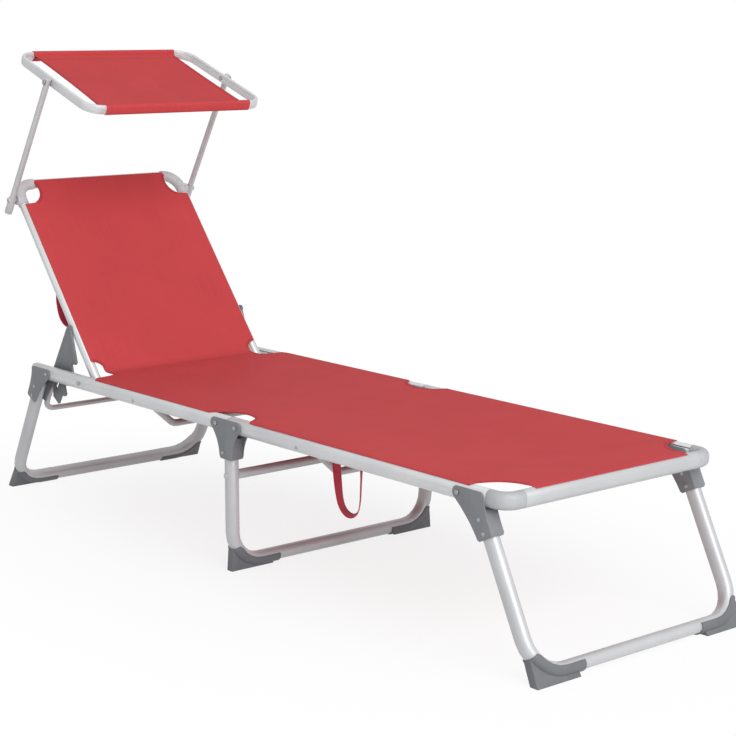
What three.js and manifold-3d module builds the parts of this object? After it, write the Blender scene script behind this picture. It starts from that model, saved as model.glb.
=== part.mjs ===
// Folding three-leg sun lounger with a ratchet backrest and a tilting sunshade.
// Millimetres, +Z up, +X towards the foot end. "right" is the side at -Y, "left" the side at +Y.
// The origin is on the ground, in the middle of the whole lounger's box.
import * as THREE from 'three';
import { mergeVertices } from 'three/addons/utils/BufferGeometryUtils.js';
import Module from 'manifold-3d';

const wasm = await Module();
wasm.setup();

// Running clearances
const SEAT_GAP = 0.3;
const PIN_GAP = 0.3;
const CUT_OVERRUN = 2;

// Side rails: an oval extrusion with a slot for the mesh
const RAIL_HALF_SPACING = 262.5;
const RAIL_HEIGHT_ABOVE_GROUND = 306;
const RAIL_WIDTH = 25;
const RAIL_HEIGHT = 33;
const RAIL_CAP_LENGTH = 3;
const RAIL_CAP_CORNER = 1;
const SLOT_HEIGHT = 2;
const SLOT_RISE = 11;
const SLOT_DEPTH = 9.5;

// Mesh slings
const SLING_THICKNESS = 1.2;
const SLING_EDGE_IN_SLOT = 5;
const SLING_SEAM_GAP = 0.6;

// Lengths along the lounger, from the middle leg
const HINGE_OFFSET = 33;
const RAIL_END_AT_HINGE = 3.5;
const SEAT_RAIL_END = 787;
const FOOT_BAR_X = 800;
const BACKREST_PIVOT_X = 575;
const HEAD_LEG_PIVOT_X = 714;
const FOOT_LEG_PIVOT_X = 694;
const SEAT_CROSS_TUBE_X = 348;
const FOOT_CROSS_TUBE_X = 232;

// Legs: one bent oval tube each, its long side along the lounger
const LEG_TUBE_RADIUS = 12.5;
const LEG_TUBE_FLAT = 6.8;
const LEG_HALF_DEPTH = LEG_TUBE_RADIUS + LEG_TUBE_FLAT / 2;
const LEG_OFFSET = 33.2;
const LEG_TOP_DROP = 46;
const LEG_BAR_HEIGHT = 17;
const LEG_BEND_RADIUS = 65;
const FOOT_LEG_LEAN = 26.5;
const HEAD_LEG_LEAN = 28;
const MIDDLE_LEG_TOP_DROP = 34;
const MIDDLE_CROSSBAR_CLEARANCE = 24.8;
const MIDDLE_CROSSBAR_RADIUS = 10.2;
const CROSSBAR_BUTTON_RADIUS = 7;
const CROSSBAR_BUTTON_HEIGHT = 3;

// Bowed cross tubes
const BOW_TUBE_RADIUS = 8;
const BOW_DEPTH = 68;
const BOW_END_DROP = 8;
const BOW_SHOULDER_IN = 23;
const BOW_SHOULDER_Y = RAIL_HALF_SPACING - BOW_SHOULDER_IN;
const BOW_FLAT_IN = 90;
const BOW_FLAT_Y = RAIL_HALF_SPACING - BOW_FLAT_IN;
const BOW_BEND_RADIUS = 25;

// Brackets: two plates and a web round the rail and the leg
const PLATE_THICKNESS = 2.4;
const BRACKET_INNER_HALF = RAIL_WIDTH / 2 + SEAT_GAP;
const BRACKET_OUTER_HALF = BRACKET_INNER_HALF + PLATE_THICKNESS;
const BRACKET_EAR = 12.5;
const BRACKET_TOP = 11.5;
const BRACKET_INNER_EAR = 10;
const BRACKET_SHOULDER = 54;
const BRACKET_FOOT_DROP = 95;
const BRACKET_FOOT_MARGIN = 3.5;
const BRACKET_FOOT_CORNER = 4;
const BRACKET_OUTER_WAIST = 51;
const BRACKET_INNER_WAIST = 10;
const BRACKET_WAIST_DROP = 52;
const BRACKET_WEB = 3;
const BRACKET_WEB_TOP_DROP = 19;
const RIVET_RADIUS = 4.2;
const RIVET_HEIGHT = 1.4;
const LEG_RIVET_DROPS = [59, 85];
const MIDDLE_BRACKET_EAR_X = 39;
const MIDDLE_BRACKET_EAR = 12.5;
const MIDDLE_BRACKET_WAIST_HALF = 23;
const MIDDLE_BRACKET_WAIST_DROP = 34;
const MIDDLE_BRACKET_FOOT_HALF = 20.5;
const MIDDLE_BRACKET_FOOT_DROP = 70;
const MIDDLE_BRACKET_FOOT_CORNER = 4;
const MIDDLE_SOCKET_HALF = 18.4;
const MIDDLE_SOCKET_TOP_DROP = 27;

// Feet: a moulded shoe under each bend, a half sleeve on a narrower fin
const SHOE_WALL = 2.6;
const SHOE_HALF_THICKNESS = LEG_HALF_DEPTH + SHOE_WALL;
const SHOE_FIN_HALF = 8.5;
const SHOE_OUTWARD_REACH = 8.5;
const SHOE_TIP_Y = RAIL_HALF_SPACING + SHOE_OUTWARD_REACH;
const SHOE_LENGTH = 118;
const SHOE_FIN_LENGTH = 105;
const SHOE_BACK_TURN = 27;
const SHOE_MOUTH_TURN = 33;
const SHOE_GRIP = 4;
const SHOE_SPARE = 14;
const SHOE_GAP = 0.35;

// Pins
const PIN_RADIUS = 3;
const PIN_HEAD_RADIUS = 4.6;
const PIN_HEAD_HEIGHT = 2;
const PIN_NUT_HEIGHT = 1.5;

// Foot end: two elbows plugged into the rails and the end bar
const ELBOW_REACH = 38;
const ELBOW_BEND_RADIUS = 27;
const ELBOW_WALL = 2;
const ELBOW_PLUG_GAP = 0.25;
const ELBOW_PLUG = 14;
const FOOT_BITE_SETBACK = 13;
const FOOT_BITE_X = FOOT_BAR_X - FOOT_BITE_SETBACK;
const FOOT_BITE_RADIUS = 82;
const FOOT_NOTCH_END = RAIL_HALF_SPACING - FOOT_BITE_RADIUS;

// Notches of the mesh at the folding hinge
const HINGE_NOTCH_DEPTH = 26;
const HINGE_NOTCH_START = 75;
const HINGE_NOTCH_CONTROL = 46;
const HINGE_NOTCH_SEAT_FLAT = 26;
const HINGE_NOTCH_FOOT_CONTROL = 60;
const HINGE_NOTCH_FOOT_FLAT = 49;

// Backrest
const BACKREST_ANGLE = 50.7;
const BACKREST_INSET = 36.5;
const BACKREST_HALF_SPACING = RAIL_HALF_SPACING - BACKREST_INSET;
const BACKREST_TUBE_RADIUS = 11;
const BACKREST_LENGTH = 543;
const BACKREST_TAIL = 14;
const BACKREST_BEND_RADIUS = 38;
const BACKREST_SLOT_RISE = 4;
const BACKREST_SLOT_DEPTH = 7;
const BACKREST_SLEEVE_RADIUS = 13;
const BACKREST_SLEEVE_SIDE_ARM = 19;
const BACKREST_SLEEVE_BAR_ARM = 6;
const KNUCKLE_RADIUS = 12.5;
const KNUCKLE_HEIGHT = 1.5;
const BACK_BITE_FROM_TOP = 25;
const BACK_BITE_INSET = 10;
const BACK_BITE_RADIUS = 38;
const CREASE_START = 40;
const CREASE_SEAT_RUN = 16;
const CREASE_SEAT_CONTROL = 12;
const CREASE_BACK_RUN = 4;
const CREASE_BACK_CONTROL = 10;
const CREASE_INSET = 36;
const CREASE_HALF_WIDTH = BACKREST_HALF_SPACING - CREASE_INSET;
const SPACER_RADIUS = 7;
const BLIND_HOLE_DEPTH = 2;

// Support bar with its toothed racks
const SUPPORT_PIVOT_ALONG = 142;
const SUPPORT_ANGLE = 32.2;
const SUPPORT_LENGTH = 248;
const SUPPORT_ARM_GAP = 0.8;
const SUPPORT_ARM_THICKNESS = 6;
const SUPPORT_ARM_Y = BACKREST_HALF_SPACING + BACKREST_TUBE_RADIUS + SUPPORT_ARM_GAP + SUPPORT_ARM_THICKNESS / 2;
const SUPPORT_ARM_WIDTH = 16;
const SUPPORT_ARM_LENGTH = 150;
const SUPPORT_RIVET_HEIGHT = 0.25;
const SUPPORT_TUBE_RADIUS = 6.5;
const SUPPORT_TUBE_WALL = 1.6;
const SUPPORT_FERRULE_LENGTH = 18;
const SUPPORT_TONGUE_LENGTH = 14;
const SUPPORT_TUBE_Y = SUPPORT_ARM_Y + SUPPORT_ARM_THICKNESS / 2 - SUPPORT_TUBE_RADIUS;
const SUPPORT_BEND_RADIUS = 26;
const RACK_THICKNESS = 5.4;
const RACK_NOTCH_RADIUS = 5;
const RACK_START = 12;
const RACK_PITCH = 32;
const RACK_FIRST_TIP = 52;
const RACK_TOOTH_COUNT = 4;
const RACK_VALLEY = 51;
const RACK_TIP = 65;
const RACK_STEP = 9;
const RACK_END = 186;
const RACK_SHOULDER = 24;
const RACK_SLOT_START = 140;
const RACK_SLOT_END = 158;
const RACK_SLOT_NEAR = 14;
const RACK_SLOT_FAR = 34;
const STUD_RADIUS = 4;
const STUD_COLLAR_RADIUS = 6.5;
const STUD_COLLAR_HEIGHT = 2;

// Sunshade
const ROD_PIVOT_FROM_TOP = 41;
const ROD_PIVOT_ALONG = BACKREST_LENGTH - ROD_PIVOT_FROM_TOP;
const ROD_ANGLE = 32;
const ROD_RADIUS = 7;
const ROD_OUTSET = 25.5;
const ROD_Y = BACKREST_HALF_SPACING + ROD_OUTSET;
const ROD_REACH = 328;
const ROD_TOP_OVERRUN = 9;
const ROD_TAIL = 36;
const HOLDER_RADIUS = 9.2;
const HOLDER_LENGTH = 42;
const ROD_BORE_RADIUS = 7;
const ROD_BORE_DEPTH = 12;
const CLAMP_RADIUS = 6;
const CLAMP_THICKNESS = 1.5;
const CANOPY_SLOPE = 19.7;
const CANOPY_BACK = 164;
const CANOPY_FRONT = 170;
const CANOPY_OUTSET = 9;
const CANOPY_HALF_WIDTH = BACKREST_HALF_SPACING + CANOPY_OUTSET;
const ROD_TOP_OUTSET = 12.2;
const ROD_TOP_Y = CANOPY_HALF_WIDTH + ROD_TOP_OUTSET;
const CANOPY_TUBE_WIDTH = 9;
const CANOPY_TUBE_HEIGHT = 21;
const CANOPY_CORNER_RADIUS = 39;
const CANOPY_TUBE_ROUND = 3.5;
const SHADE_THICKNESS = 1.2;
const SHADE_BACK_INSET = 45;
const SHADE_FRONT_INSET = 42;
const SHADE_SLEEVE_INSET = 40;
const SHADE_CORNER_RUN = 14;
const SHADE_CORNER_SETBACK = 8;
const SHADE_GAP = 0.5;
const SCREW_RADIUS = 3;
const SCREW_HEAD_RADIUS = 6;
const SCREW_HEAD_HEIGHT = 2.5;

// Carry straps
const STRAP_THICKNESS = 1.6;
const STRAP_WIDTH = 28;
const FOOT_STRAP_X = 346;
const FOOT_STRAP_SPREAD = 70;
const FOOT_STRAP_DROP = 142;
const BACK_STRAP_ALONG = 225;
const BACK_STRAP_SPREAD = 62;
const BACK_STRAP_DROP = 36;

// Rest lengths worked out from the sizes above
const radians = (degrees) => degrees * Math.PI / 180;
const legLength = (lean) =>
  (RAIL_HEIGHT_ABOVE_GROUND - LEG_BAR_HEIGHT + LEG_OFFSET * Math.sin(radians(lean))) / Math.cos(radians(lean));

const SIDES = [['right', -1], ['left', 1]];
const COLOURS = {
  rail: [0xdcdddf, 0.32, 0.75],
  leg: [0xb4b6b9, 0.42, 0.7],
  plastic: [0x77797d, 0.55, 0.05],
  elbow: [0xa9aaae, 0.5, 0.1],
  rack: [0x6c6e72, 0.5, 0.35],
  pin: [0xc6c8cb, 0.3, 0.9],
  sling: [0xbe484c, 0.85, 0],
  strap: [0xb23241, 0.8, 0],
  cap: [0x8b8d91, 0.6, 0.05],
};

// A path through chosen stations, so that a bend gets its rings and a straight run gets none
class StationPath extends THREE.Curve {
  constructor(stations) {
    super();
    this.stations = stations;
  }
  getPoint(share) {
    const place = share * (this.stations.length - 1);
    const index = Math.min(Math.floor(place), this.stations.length - 2);
    return this.stations[index].clone().lerp(this.stations[index + 1], place - index);
  }
  getTangent(share) {
    const index = Math.round(share * (this.stations.length - 1));
    const before = this.stations[Math.max(index - 1, 0)];
    const here = this.stations[index];
    const after = this.stations[Math.min(index + 1, this.stations.length - 1)];
    const arriving = here.clone().sub(before).normalize();
    const leaving = after.clone().sub(here).normalize();
    return arriving.add(leaving).normalize();
  }
  getPointAt(share) {
    return this.getPoint(share);
  }
  getTangentAt(share) {
    return this.getTangent(share);
  }
}

// Replaces the inner corners of a polyline by arcs of one radius
function roundCorners(corners, radius, steps) {
  const stations = [corners[0]];
  for (let i = 1; i < corners.length - 1; i += 1) {
    const corner = corners[i];
    const toBefore = corners[i - 1].clone().sub(corner).normalize();
    const toAfter = corners[i + 1].clone().sub(corner).normalize();
    const half = toBefore.angleTo(toAfter) / 2;
    const centre = corner.clone().addScaledVector(toBefore.clone().add(toAfter).normalize(), radius / Math.sin(half));
    const tangentLength = radius / Math.tan(half);
    const first = corner.clone().addScaledVector(toBefore, tangentLength).sub(centre);
    const last = corner.clone().addScaledVector(toAfter, tangentLength).sub(centre);
    const turn = first.angleTo(last);
    for (let k = 0; k <= steps; k += 1) {
      const share = k / steps;
      const blendFirst = Math.sin((1 - share) * turn) / Math.sin(turn);
      const blendLast = Math.sin(share * turn) / Math.sin(turn);
      stations.push(centre.clone().addScaledVector(first, blendFirst).addScaledVector(last, blendLast));
    }
  }
  stations.push(corners[corners.length - 1]);
  return stations;
}

// A round-ended section along a path; quarterTurn lays its long side across the other way
function sweptOval(stations, radius, flat, quarterTurn = 0) {
  const alongX = flat / 2 * Math.cos(quarterTurn);
  const alongY = flat / 2 * Math.sin(quarterTurn);
  const section = new THREE.Shape();
  section.absarc(alongX, alongY, radius, quarterTurn - Math.PI / 2, quarterTurn + Math.PI / 2);
  section.absarc(-alongX, -alongY, radius, quarterTurn + Math.PI / 2, quarterTurn + 1.5 * Math.PI);
  return new THREE.ExtrudeGeometry(section, {
    steps: stations.length - 1,
    curveSegments: 4,
    extrudePath: new StationPath(stations),
  });
}

function tube(stations, radius, sides = 16) {
  const section = new THREE.Shape();
  section.absarc(0, 0, radius, 0, 2 * Math.PI);
  return new THREE.ExtrudeGeometry(section, {
    steps: stations.length - 1,
    curveSegments: sides / 2,
    extrudePath: new StationPath(stations),
  });
}

function bentTube(corners, bendRadius, radius, bendSteps = 6, sides = 16) {
  return tube(roundCorners(corners, bendRadius, bendSteps), radius, sides);
}

const at = (x, y, z) => new THREE.Vector3(x, y, z);

// A straight round bar along Y, from one Y to another
function crossRod(x, z, fromY, toY, radius, sides = 12) {
  const length = Math.abs(toY - fromY);
  return new THREE.CylinderGeometry(radius, radius, length, sides).translate(x, (fromY + toY) / 2, z);
}

// An outline in X and Z given a thickness along Y
function plate(outline, centreY, thickness) {
  const geometry = new THREE.ExtrudeGeometry(outline, { depth: thickness, bevelEnabled: false, curveSegments: 4 });
  return geometry.rotateX(Math.PI / 2).translate(0, centreY + thickness / 2, 0);
}

function outlineOf(points) {
  return new THREE.Shape(points.map(([a, b]) => new THREE.Vector2(a, b)));
}

// A section in Y and Z drawn out along X
function alongX(section, fromX, toX) {
  const geometry = new THREE.ExtrudeGeometry(section, { depth: toX - fromX, bevelEnabled: false, curveSegments: 4 });
  const turn = new THREE.Matrix4().makeBasis(at(0, 1, 0), at(0, 0, 1), at(1, 0, 0));
  return geometry.applyMatrix4(turn).translate(fromX, 0, 0);
}

// A flat sheet in X and Y
function sheet(outline, centreZ, thickness) {
  const geometry = new THREE.ExtrudeGeometry(outline, { depth: thickness, bevelEnabled: false, curveSegments: 10 });
  return geometry.translate(0, 0, centreZ - thickness / 2);
}

function block(fromX, toX, fromY, toY, fromZ, toZ) {
  return new THREE.BoxGeometry(toX - fromX, Math.abs(toY - fromY), toZ - fromZ)
    .translate((fromX + toX) / 2, (fromY + toY) / 2, (fromZ + toZ) / 2);
}

function solid(geometry) {
  const bare = geometry.index ? geometry.toNonIndexed() : geometry.clone();
  bare.deleteAttribute('normal');
  bare.deleteAttribute('uv');
  const merged = mergeVertices(bare);
  const mesh = new wasm.Mesh({
    numProp: 3,
    vertProperties: new Float32Array(merged.attributes.position.array),
    triVerts: new Uint32Array(merged.index.array),
  });
  mesh.merge();
  return new wasm.Manifold(mesh);
}

function geometryOf(body) {
  const mesh = body.getMesh();
  const geometry = new THREE.BufferGeometry();
  geometry.setAttribute('position', new THREE.BufferAttribute(new Float32Array(mesh.vertProperties), 3));
  geometry.setIndex(new THREE.BufferAttribute(new Uint32Array(mesh.triVerts), 1));
  const faceted = geometry.toNonIndexed();
  faceted.computeVertexNormals();
  return faceted;
}

function join(first, ...others) {
  return geometryOf(others.reduce((sum, other) => sum.add(solid(other)), solid(first)));
}

function cut(first, ...others) {
  return geometryOf(others.reduce((rest, other) => rest.subtract(solid(other)), solid(first)));
}

function common(first, other) {
  return geometryOf(solid(first).intersect(solid(other)));
}

// Points along an arc, the turns in degrees
function arcPoints(x, z, radius, fromTurn, toTurn, steps) {
  return Array.from({ length: steps + 1 }, (_, k) => {
    const turn = radians(fromTurn + (toTurn - fromTurn) * k / steps);
    return [x + radius * Math.cos(turn), z + radius * Math.sin(turn)];
  });
}

// Points inside a curve drawn with one control point, without its ends
function curvePoints(from, control, to, steps) {
  return Array.from({ length: steps - 1 }, (_, k) => {
    const share = (k + 1) / steps;
    const blend = (axis) => (1 - share) * (1 - share) * from[axis] + 2 * share * (1 - share) * control[axis]
      + share * share * to[axis];
    return [blend(0), blend(1)];
  });
}

function piece(group, name, geometry, look) {
  const [color, roughness, metalness] = COLOURS[look];
  const mesh = new THREE.Mesh(geometry, new THREE.MeshStandardMaterial({ color, roughness, metalness }));
  mesh.name = name;
  group.add(mesh);
}

// A moving body: a group at its pivot, turned by its rest angle about Y
function movingBody(parent, label, x, z, restDegrees) {
  const group = new THREE.Group();
  group.name = label;
  group.position.set(x, 0, z);
  group.rotation.y = radians(restDegrees);
  parent.add(group);
  return group;
}

// Rails

function railSection(side, grow = 0) {
  const radius = RAIL_WIDTH / 2 + grow;
  const straight = (RAIL_HEIGHT - RAIL_WIDTH) / 2;
  const centre = side * RAIL_HALF_SPACING;
  const section = new THREE.Shape();
  section.absarc(centre, straight, radius, 0, Math.PI);
  section.absarc(centre, -straight, radius, Math.PI, 2 * Math.PI);
  return section;
}

function slotAlongX(side, innerFace, depth, rise, fromX, toX) {
  return block(fromX, toX, side * (innerFace - CUT_OVERRUN), side * (innerFace + depth),
    rise - SLOT_HEIGHT / 2, rise + SLOT_HEIGHT / 2);
}

function railHole(side, x) {
  const reach = BRACKET_OUTER_HALF + CUT_OVERRUN;
  return crossRod(x, 0, side * RAIL_HALF_SPACING - reach, side * RAIL_HALF_SPACING + reach, PIN_RADIUS + PIN_GAP);
}

function rail(side, fromX, toX, pivots) {
  const body = alongX(railSection(side), fromX, toX);
  const innerFace = RAIL_HALF_SPACING - RAIL_WIDTH / 2;
  const slot = slotAlongX(side, innerFace, SLOT_DEPTH, SLOT_RISE, fromX - CUT_OVERRUN, toX + CUT_OVERRUN);
  return cut(body, slot, ...pivots.map((x) => railHole(side, x)));
}

function railCap(side, fromX, toX) {
  return alongX(railSection(side, -RAIL_CAP_CORNER), fromX, toX);
}

function bowedCrossTube(x) {
  const end = RAIL_HALF_SPACING - RAIL_WIDTH / 2 - SEAT_GAP;
  const shoulder = -BOW_END_DROP;
  const corners = [
    at(x, -end, shoulder), at(x, -BOW_SHOULDER_Y, shoulder), at(x, -BOW_FLAT_Y, -BOW_DEPTH),
    at(x, BOW_FLAT_Y, -BOW_DEPTH), at(x, BOW_SHOULDER_Y, shoulder), at(x, end, shoulder),
  ];
  return bentTube(corners, BOW_BEND_RADIUS, BOW_TUBE_RADIUS, 4, 12);
}

// Pins: a shank with a head outside and a nut inside
function pin(side, x, z, innerY, outerY, radius = PIN_RADIUS) {
  const inner = side * innerY;
  const outer = side * outerY;
  const headEnd = side * (outerY + PIN_HEAD_HEIGHT);
  const nutEnd = side * (innerY - PIN_NUT_HEIGHT);
  return join(crossRod(x, z, nutEnd, headEnd, radius, 10),
    crossRod(x, z, outer, headEnd, PIN_HEAD_RADIUS), crossRod(x, z, nutEnd, inner, PIN_HEAD_RADIUS, 10));
}

function bracketPin(side, x) {
  const reach = BRACKET_OUTER_HALF + SEAT_GAP;
  return pin(side, x, 0, RAIL_HALF_SPACING - reach, RAIL_HALF_SPACING + reach);
}

// Legs

function legTube(offset, topDrop, barDrop, grow = 0) {
  const y = RAIL_HALF_SPACING;
  const corners = [at(offset, -y, -topDrop), at(offset, -y, -barDrop), at(offset, y, -barDrop), at(offset, y, -topDrop)];
  return sweptOval(roundCorners(corners, LEG_BEND_RADIUS, 6), LEG_TUBE_RADIUS + grow, LEG_TUBE_FLAT, Math.PI / 2);
}

// The shoe's outline in the plane of the leg: Y across, Z along the leg
function shoeOutline(side, barDrop, soleDrop, length, tipY, outerRadius) {
  const centreY = RAIL_HALF_SPACING - LEG_BEND_RADIUS;
  const centreZ = -barDrop + LEG_BEND_RADIUS;
  const onBend = (radius, turn) => [side * (centreY + radius * Math.cos(turn)), centreZ - radius * Math.sin(turn)];
  const gripRadius = LEG_BEND_RADIUS - SHOE_GRIP;
  const inner = SHOE_TIP_Y - length;
  const points = [
    [side * tipY, -soleDrop], [side * tipY, -barDrop - LEG_BAR_HEIGHT],
    onBend(outerRadius, radians(SHOE_BACK_TURN)), onBend(LEG_BEND_RADIUS, radians(SHOE_BACK_TURN)),
  ];
  const steps = 4;
  const startTurn = radians(SHOE_MOUTH_TURN);
  for (let k = 0; k <= steps; k += 1) {
    points.push(onBend(gripRadius, startTurn + (Math.PI / 2 - startTurn) * k / steps));
  }
  points.push([side * inner, -barDrop + SHOE_GRIP], [side * inner, -soleDrop]);
  return outlineOf(points);
}

// An outline in the plane of the leg given a thickness across it
function acrossLeg(outline, offset, halfThickness) {
  const turn = new THREE.Matrix4().makeBasis(at(0, 1, 0), at(0, 0, 1), at(1, 0, 0));
  return new THREE.ExtrudeGeometry(outline, { depth: 2 * halfThickness, bevelEnabled: false, curveSegments: 8 })
    .applyMatrix4(turn).translate(offset - halfThickness, 0, 0);
}

// A moulded shoe: a half sleeve cradles the bend, a fin below it stands flat on the ground
function shoe(side, offset, topDrop, barDrop, lean) {
  const soleDrop = barDrop + LEG_BAR_HEIGHT + SHOE_SPARE;
  const wide = LEG_BEND_RADIUS + LEG_TUBE_RADIUS + SHOE_SPARE;
  const cradle = acrossLeg(shoeOutline(side, barDrop, soleDrop, SHOE_LENGTH, RAIL_HALF_SPACING + wide, wide),
    offset, SHOE_HALF_THICKNESS + SHOE_WALL);
  const sleeve = common(cradle, legTube(offset, topDrop, barDrop, SHOE_WALL));
  const finRadius = LEG_BEND_RADIUS + LEG_TUBE_RADIUS + SHOE_WALL / 2;
  const fin = acrossLeg(shoeOutline(side, barDrop, soleDrop, SHOE_FIN_LENGTH, SHOE_TIP_Y, finRadius),
    offset, SHOE_FIN_HALF);
  const bore = legTube(offset, topDrop, barDrop, SHOE_GAP);
  const reach = RAIL_HEIGHT_ABOVE_GROUND;
  const ground = block(-reach, reach, side * (RAIL_HALF_SPACING - reach), side * (RAIL_HALF_SPACING + reach),
    -3 * reach, -RAIL_HEIGHT_ABOVE_GROUND);
  ground.rotateY(radians(lean));
  return cut(join(sleeve, fin), bore, ground);
}

function rivets(side, x, drops) {
  const heads = [];
  for (const drop of drops) {
    for (const face of [-1, 1]) {
      const from = side * RAIL_HALF_SPACING + face * (BRACKET_OUTER_HALF - PLATE_THICKNESS / 2);
      const to = side * RAIL_HALF_SPACING + face * (BRACKET_OUTER_HALF + RIVET_HEIGHT);
      heads.push(crossRod(x, -drop, from, to, RIVET_RADIUS, 10));
    }
  }
  return heads;
}

// An outer bracket in the frame of its leg: outward is +X times the leg's direction
function bracket(side, outward, lean) {
  const cosLean = Math.cos(radians(lean));
  const sinLean = Math.sin(radians(lean));
  const turned = (x, z) => [outward * (x * cosLean + z * sinLean), -x * sinLean + z * cosLean];
  const outer = LEG_OFFSET + LEG_HALF_DEPTH;
  const inner = LEG_OFFSET - LEG_HALF_DEPTH;
  const footOuter = [outward * (outer + BRACKET_FOOT_MARGIN), -BRACKET_FOOT_DROP + BRACKET_FOOT_CORNER];
  const footInner = [outward * (inner - BRACKET_FOOT_MARGIN), -BRACKET_FOOT_DROP + BRACKET_FOOT_CORNER];
  const shoulderEnd = turned(BRACKET_SHOULDER + BRACKET_EAR, 0);
  const outerControl = [outward * BRACKET_OUTER_WAIST, -BRACKET_WAIST_DROP];
  const innerControl = [outward * BRACKET_INNER_WAIST, -BRACKET_WAIST_DROP];
  const outerEdge = curvePoints(shoulderEnd, outerControl, footOuter, 6);
  const plateOutline = (ear, top) => {
    const topTurn = 180 - Math.asin(top / ear) * 180 / Math.PI;
    const toe = turned(-ear * Math.cos(radians(60)), -ear * Math.sin(radians(60)));
    return outlineOf([
      ...arcPoints(0, 0, ear, 240, topTurn, 5).map(([x, z]) => turned(x, z)),
      ...arcPoints(BRACKET_SHOULDER, 0, ear, 180 - topTurn, 0, 4).map(([x, z]) => turned(x, z)),
      ...outerEdge, footOuter,
      [footOuter[0] - outward * BRACKET_FOOT_CORNER, -BRACKET_FOOT_DROP],
      [footInner[0] + outward * BRACKET_FOOT_CORNER, -BRACKET_FOOT_DROP], footInner,
      ...curvePoints(footInner, innerControl, toe, 5),
    ]);
  };
  const webInner = outward * (outer + SEAT_GAP);
  const webTop = turned(BRACKET_SHOULDER + BRACKET_EAR, -BRACKET_WEB_TOP_DROP);
  const webOutline = outlineOf([
    ...[webTop, ...outerEdge].filter(([x, z]) => z <= webTop[1] && outward * (x - webInner) > 0), footOuter,
    [footOuter[0] - outward * BRACKET_FOOT_CORNER / 2, -BRACKET_FOOT_DROP], [webInner, -BRACKET_FOOT_DROP],
    [webInner, -LEG_TOP_DROP - BRACKET_FOOT_CORNER],
  ]);
  const y = side * RAIL_HALF_SPACING;
  const outlines = { [side]: plateOutline(BRACKET_EAR, BRACKET_TOP), [-side]: plateOutline(BRACKET_INNER_EAR, BRACKET_INNER_EAR) };
  const faces = [-1, 1].map((face) =>
    plate(outlines[face], y + face * (BRACKET_INNER_HALF + PLATE_THICKNESS / 2), PLATE_THICKNESS));
  const web = plate(webOutline, y, 2 * BRACKET_INNER_HALF + PLATE_THICKNESS);
  const body = join(web, ...faces, ...rivets(side, outward * LEG_OFFSET, LEG_RIVET_DROPS));
  return cut(body, railHole(side, 0));
}

function middleBracket(side) {
  const ear = arcPoints(MIDDLE_BRACKET_EAR_X, 0, MIDDLE_BRACKET_EAR, 90, -65, 6);
  const foot = [MIDDLE_BRACKET_FOOT_HALF, -MIDDLE_BRACKET_FOOT_DROP + MIDDLE_BRACKET_FOOT_CORNER];
  const waist = [MIDDLE_BRACKET_WAIST_HALF, -MIDDLE_BRACKET_WAIST_DROP];
  const half = [...ear, ...curvePoints(ear[ear.length - 1], waist, foot, 5), foot,
    [MIDDLE_BRACKET_FOOT_HALF - MIDDLE_BRACKET_FOOT_CORNER, -MIDDLE_BRACKET_FOOT_DROP]];
  const plateOutline = outlineOf([...half, ...half.map(([x, z]) => [-x, z]).reverse()]);
  const y = side * RAIL_HALF_SPACING;
  const faces = [-1, 1].map((face) =>
    plate(plateOutline, y + face * (BRACKET_INNER_HALF + PLATE_THICKNESS / 2), PLATE_THICKNESS));
  const socket = block(-MIDDLE_SOCKET_HALF, MIDDLE_SOCKET_HALF, y - BRACKET_INNER_HALF - PLATE_THICKNESS / 2,
    y + BRACKET_INNER_HALF + PLATE_THICKNESS / 2, -MIDDLE_BRACKET_FOOT_DROP, -MIDDLE_SOCKET_TOP_DROP);
  const top = -MIDDLE_LEG_TOP_DROP + SEAT_GAP;
  const bore = sweptOval([at(0, y, top), at(0, y, top - MIDDLE_BRACKET_FOOT_DROP)],
    LEG_TUBE_RADIUS + SEAT_GAP, LEG_TUBE_FLAT, Math.PI / 2);
  const body = join(socket, ...faces, ...rivets(side, 0, [MIDDLE_BRACKET_FOOT_DROP - PIN_HEAD_RADIUS * 2]));
  return cut(body, bore, railHole(side, -HINGE_OFFSET), railHole(side, HINGE_OFFSET));
}

// Slings

function seatSlingOutline() {
  const head = -(BACKREST_PIVOT_X - CREASE_START);
  const foot = -SLING_SEAM_GAP / 2;
  const wide = RAIL_HALF_SPACING - RAIL_WIDTH / 2 + SLING_EDGE_IN_SLOT;
  const shape = new THREE.Shape();
  const narrow = wide - HINGE_NOTCH_DEPTH;
  const bend = CREASE_HALF_WIDTH + CREASE_SEAT_CONTROL;
  shape.moveTo(head, -CREASE_HALF_WIDTH);
  shape.quadraticCurveTo(head + CREASE_SEAT_CONTROL, -bend, head + CREASE_SEAT_RUN, -wide);
  shape.lineTo(-HINGE_NOTCH_START, -wide);
  shape.quadraticCurveTo(-HINGE_NOTCH_CONTROL, -narrow, -HINGE_NOTCH_SEAT_FLAT, -narrow);
  shape.lineTo(foot, -narrow);
  shape.lineTo(foot, narrow);
  shape.lineTo(-HINGE_NOTCH_SEAT_FLAT, narrow);
  shape.quadraticCurveTo(-HINGE_NOTCH_CONTROL, narrow, -HINGE_NOTCH_START, wide);
  shape.lineTo(head + CREASE_SEAT_RUN, wide);
  shape.quadraticCurveTo(head + CREASE_SEAT_CONTROL, bend, head, CREASE_HALF_WIDTH);
  return shape;
}

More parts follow.
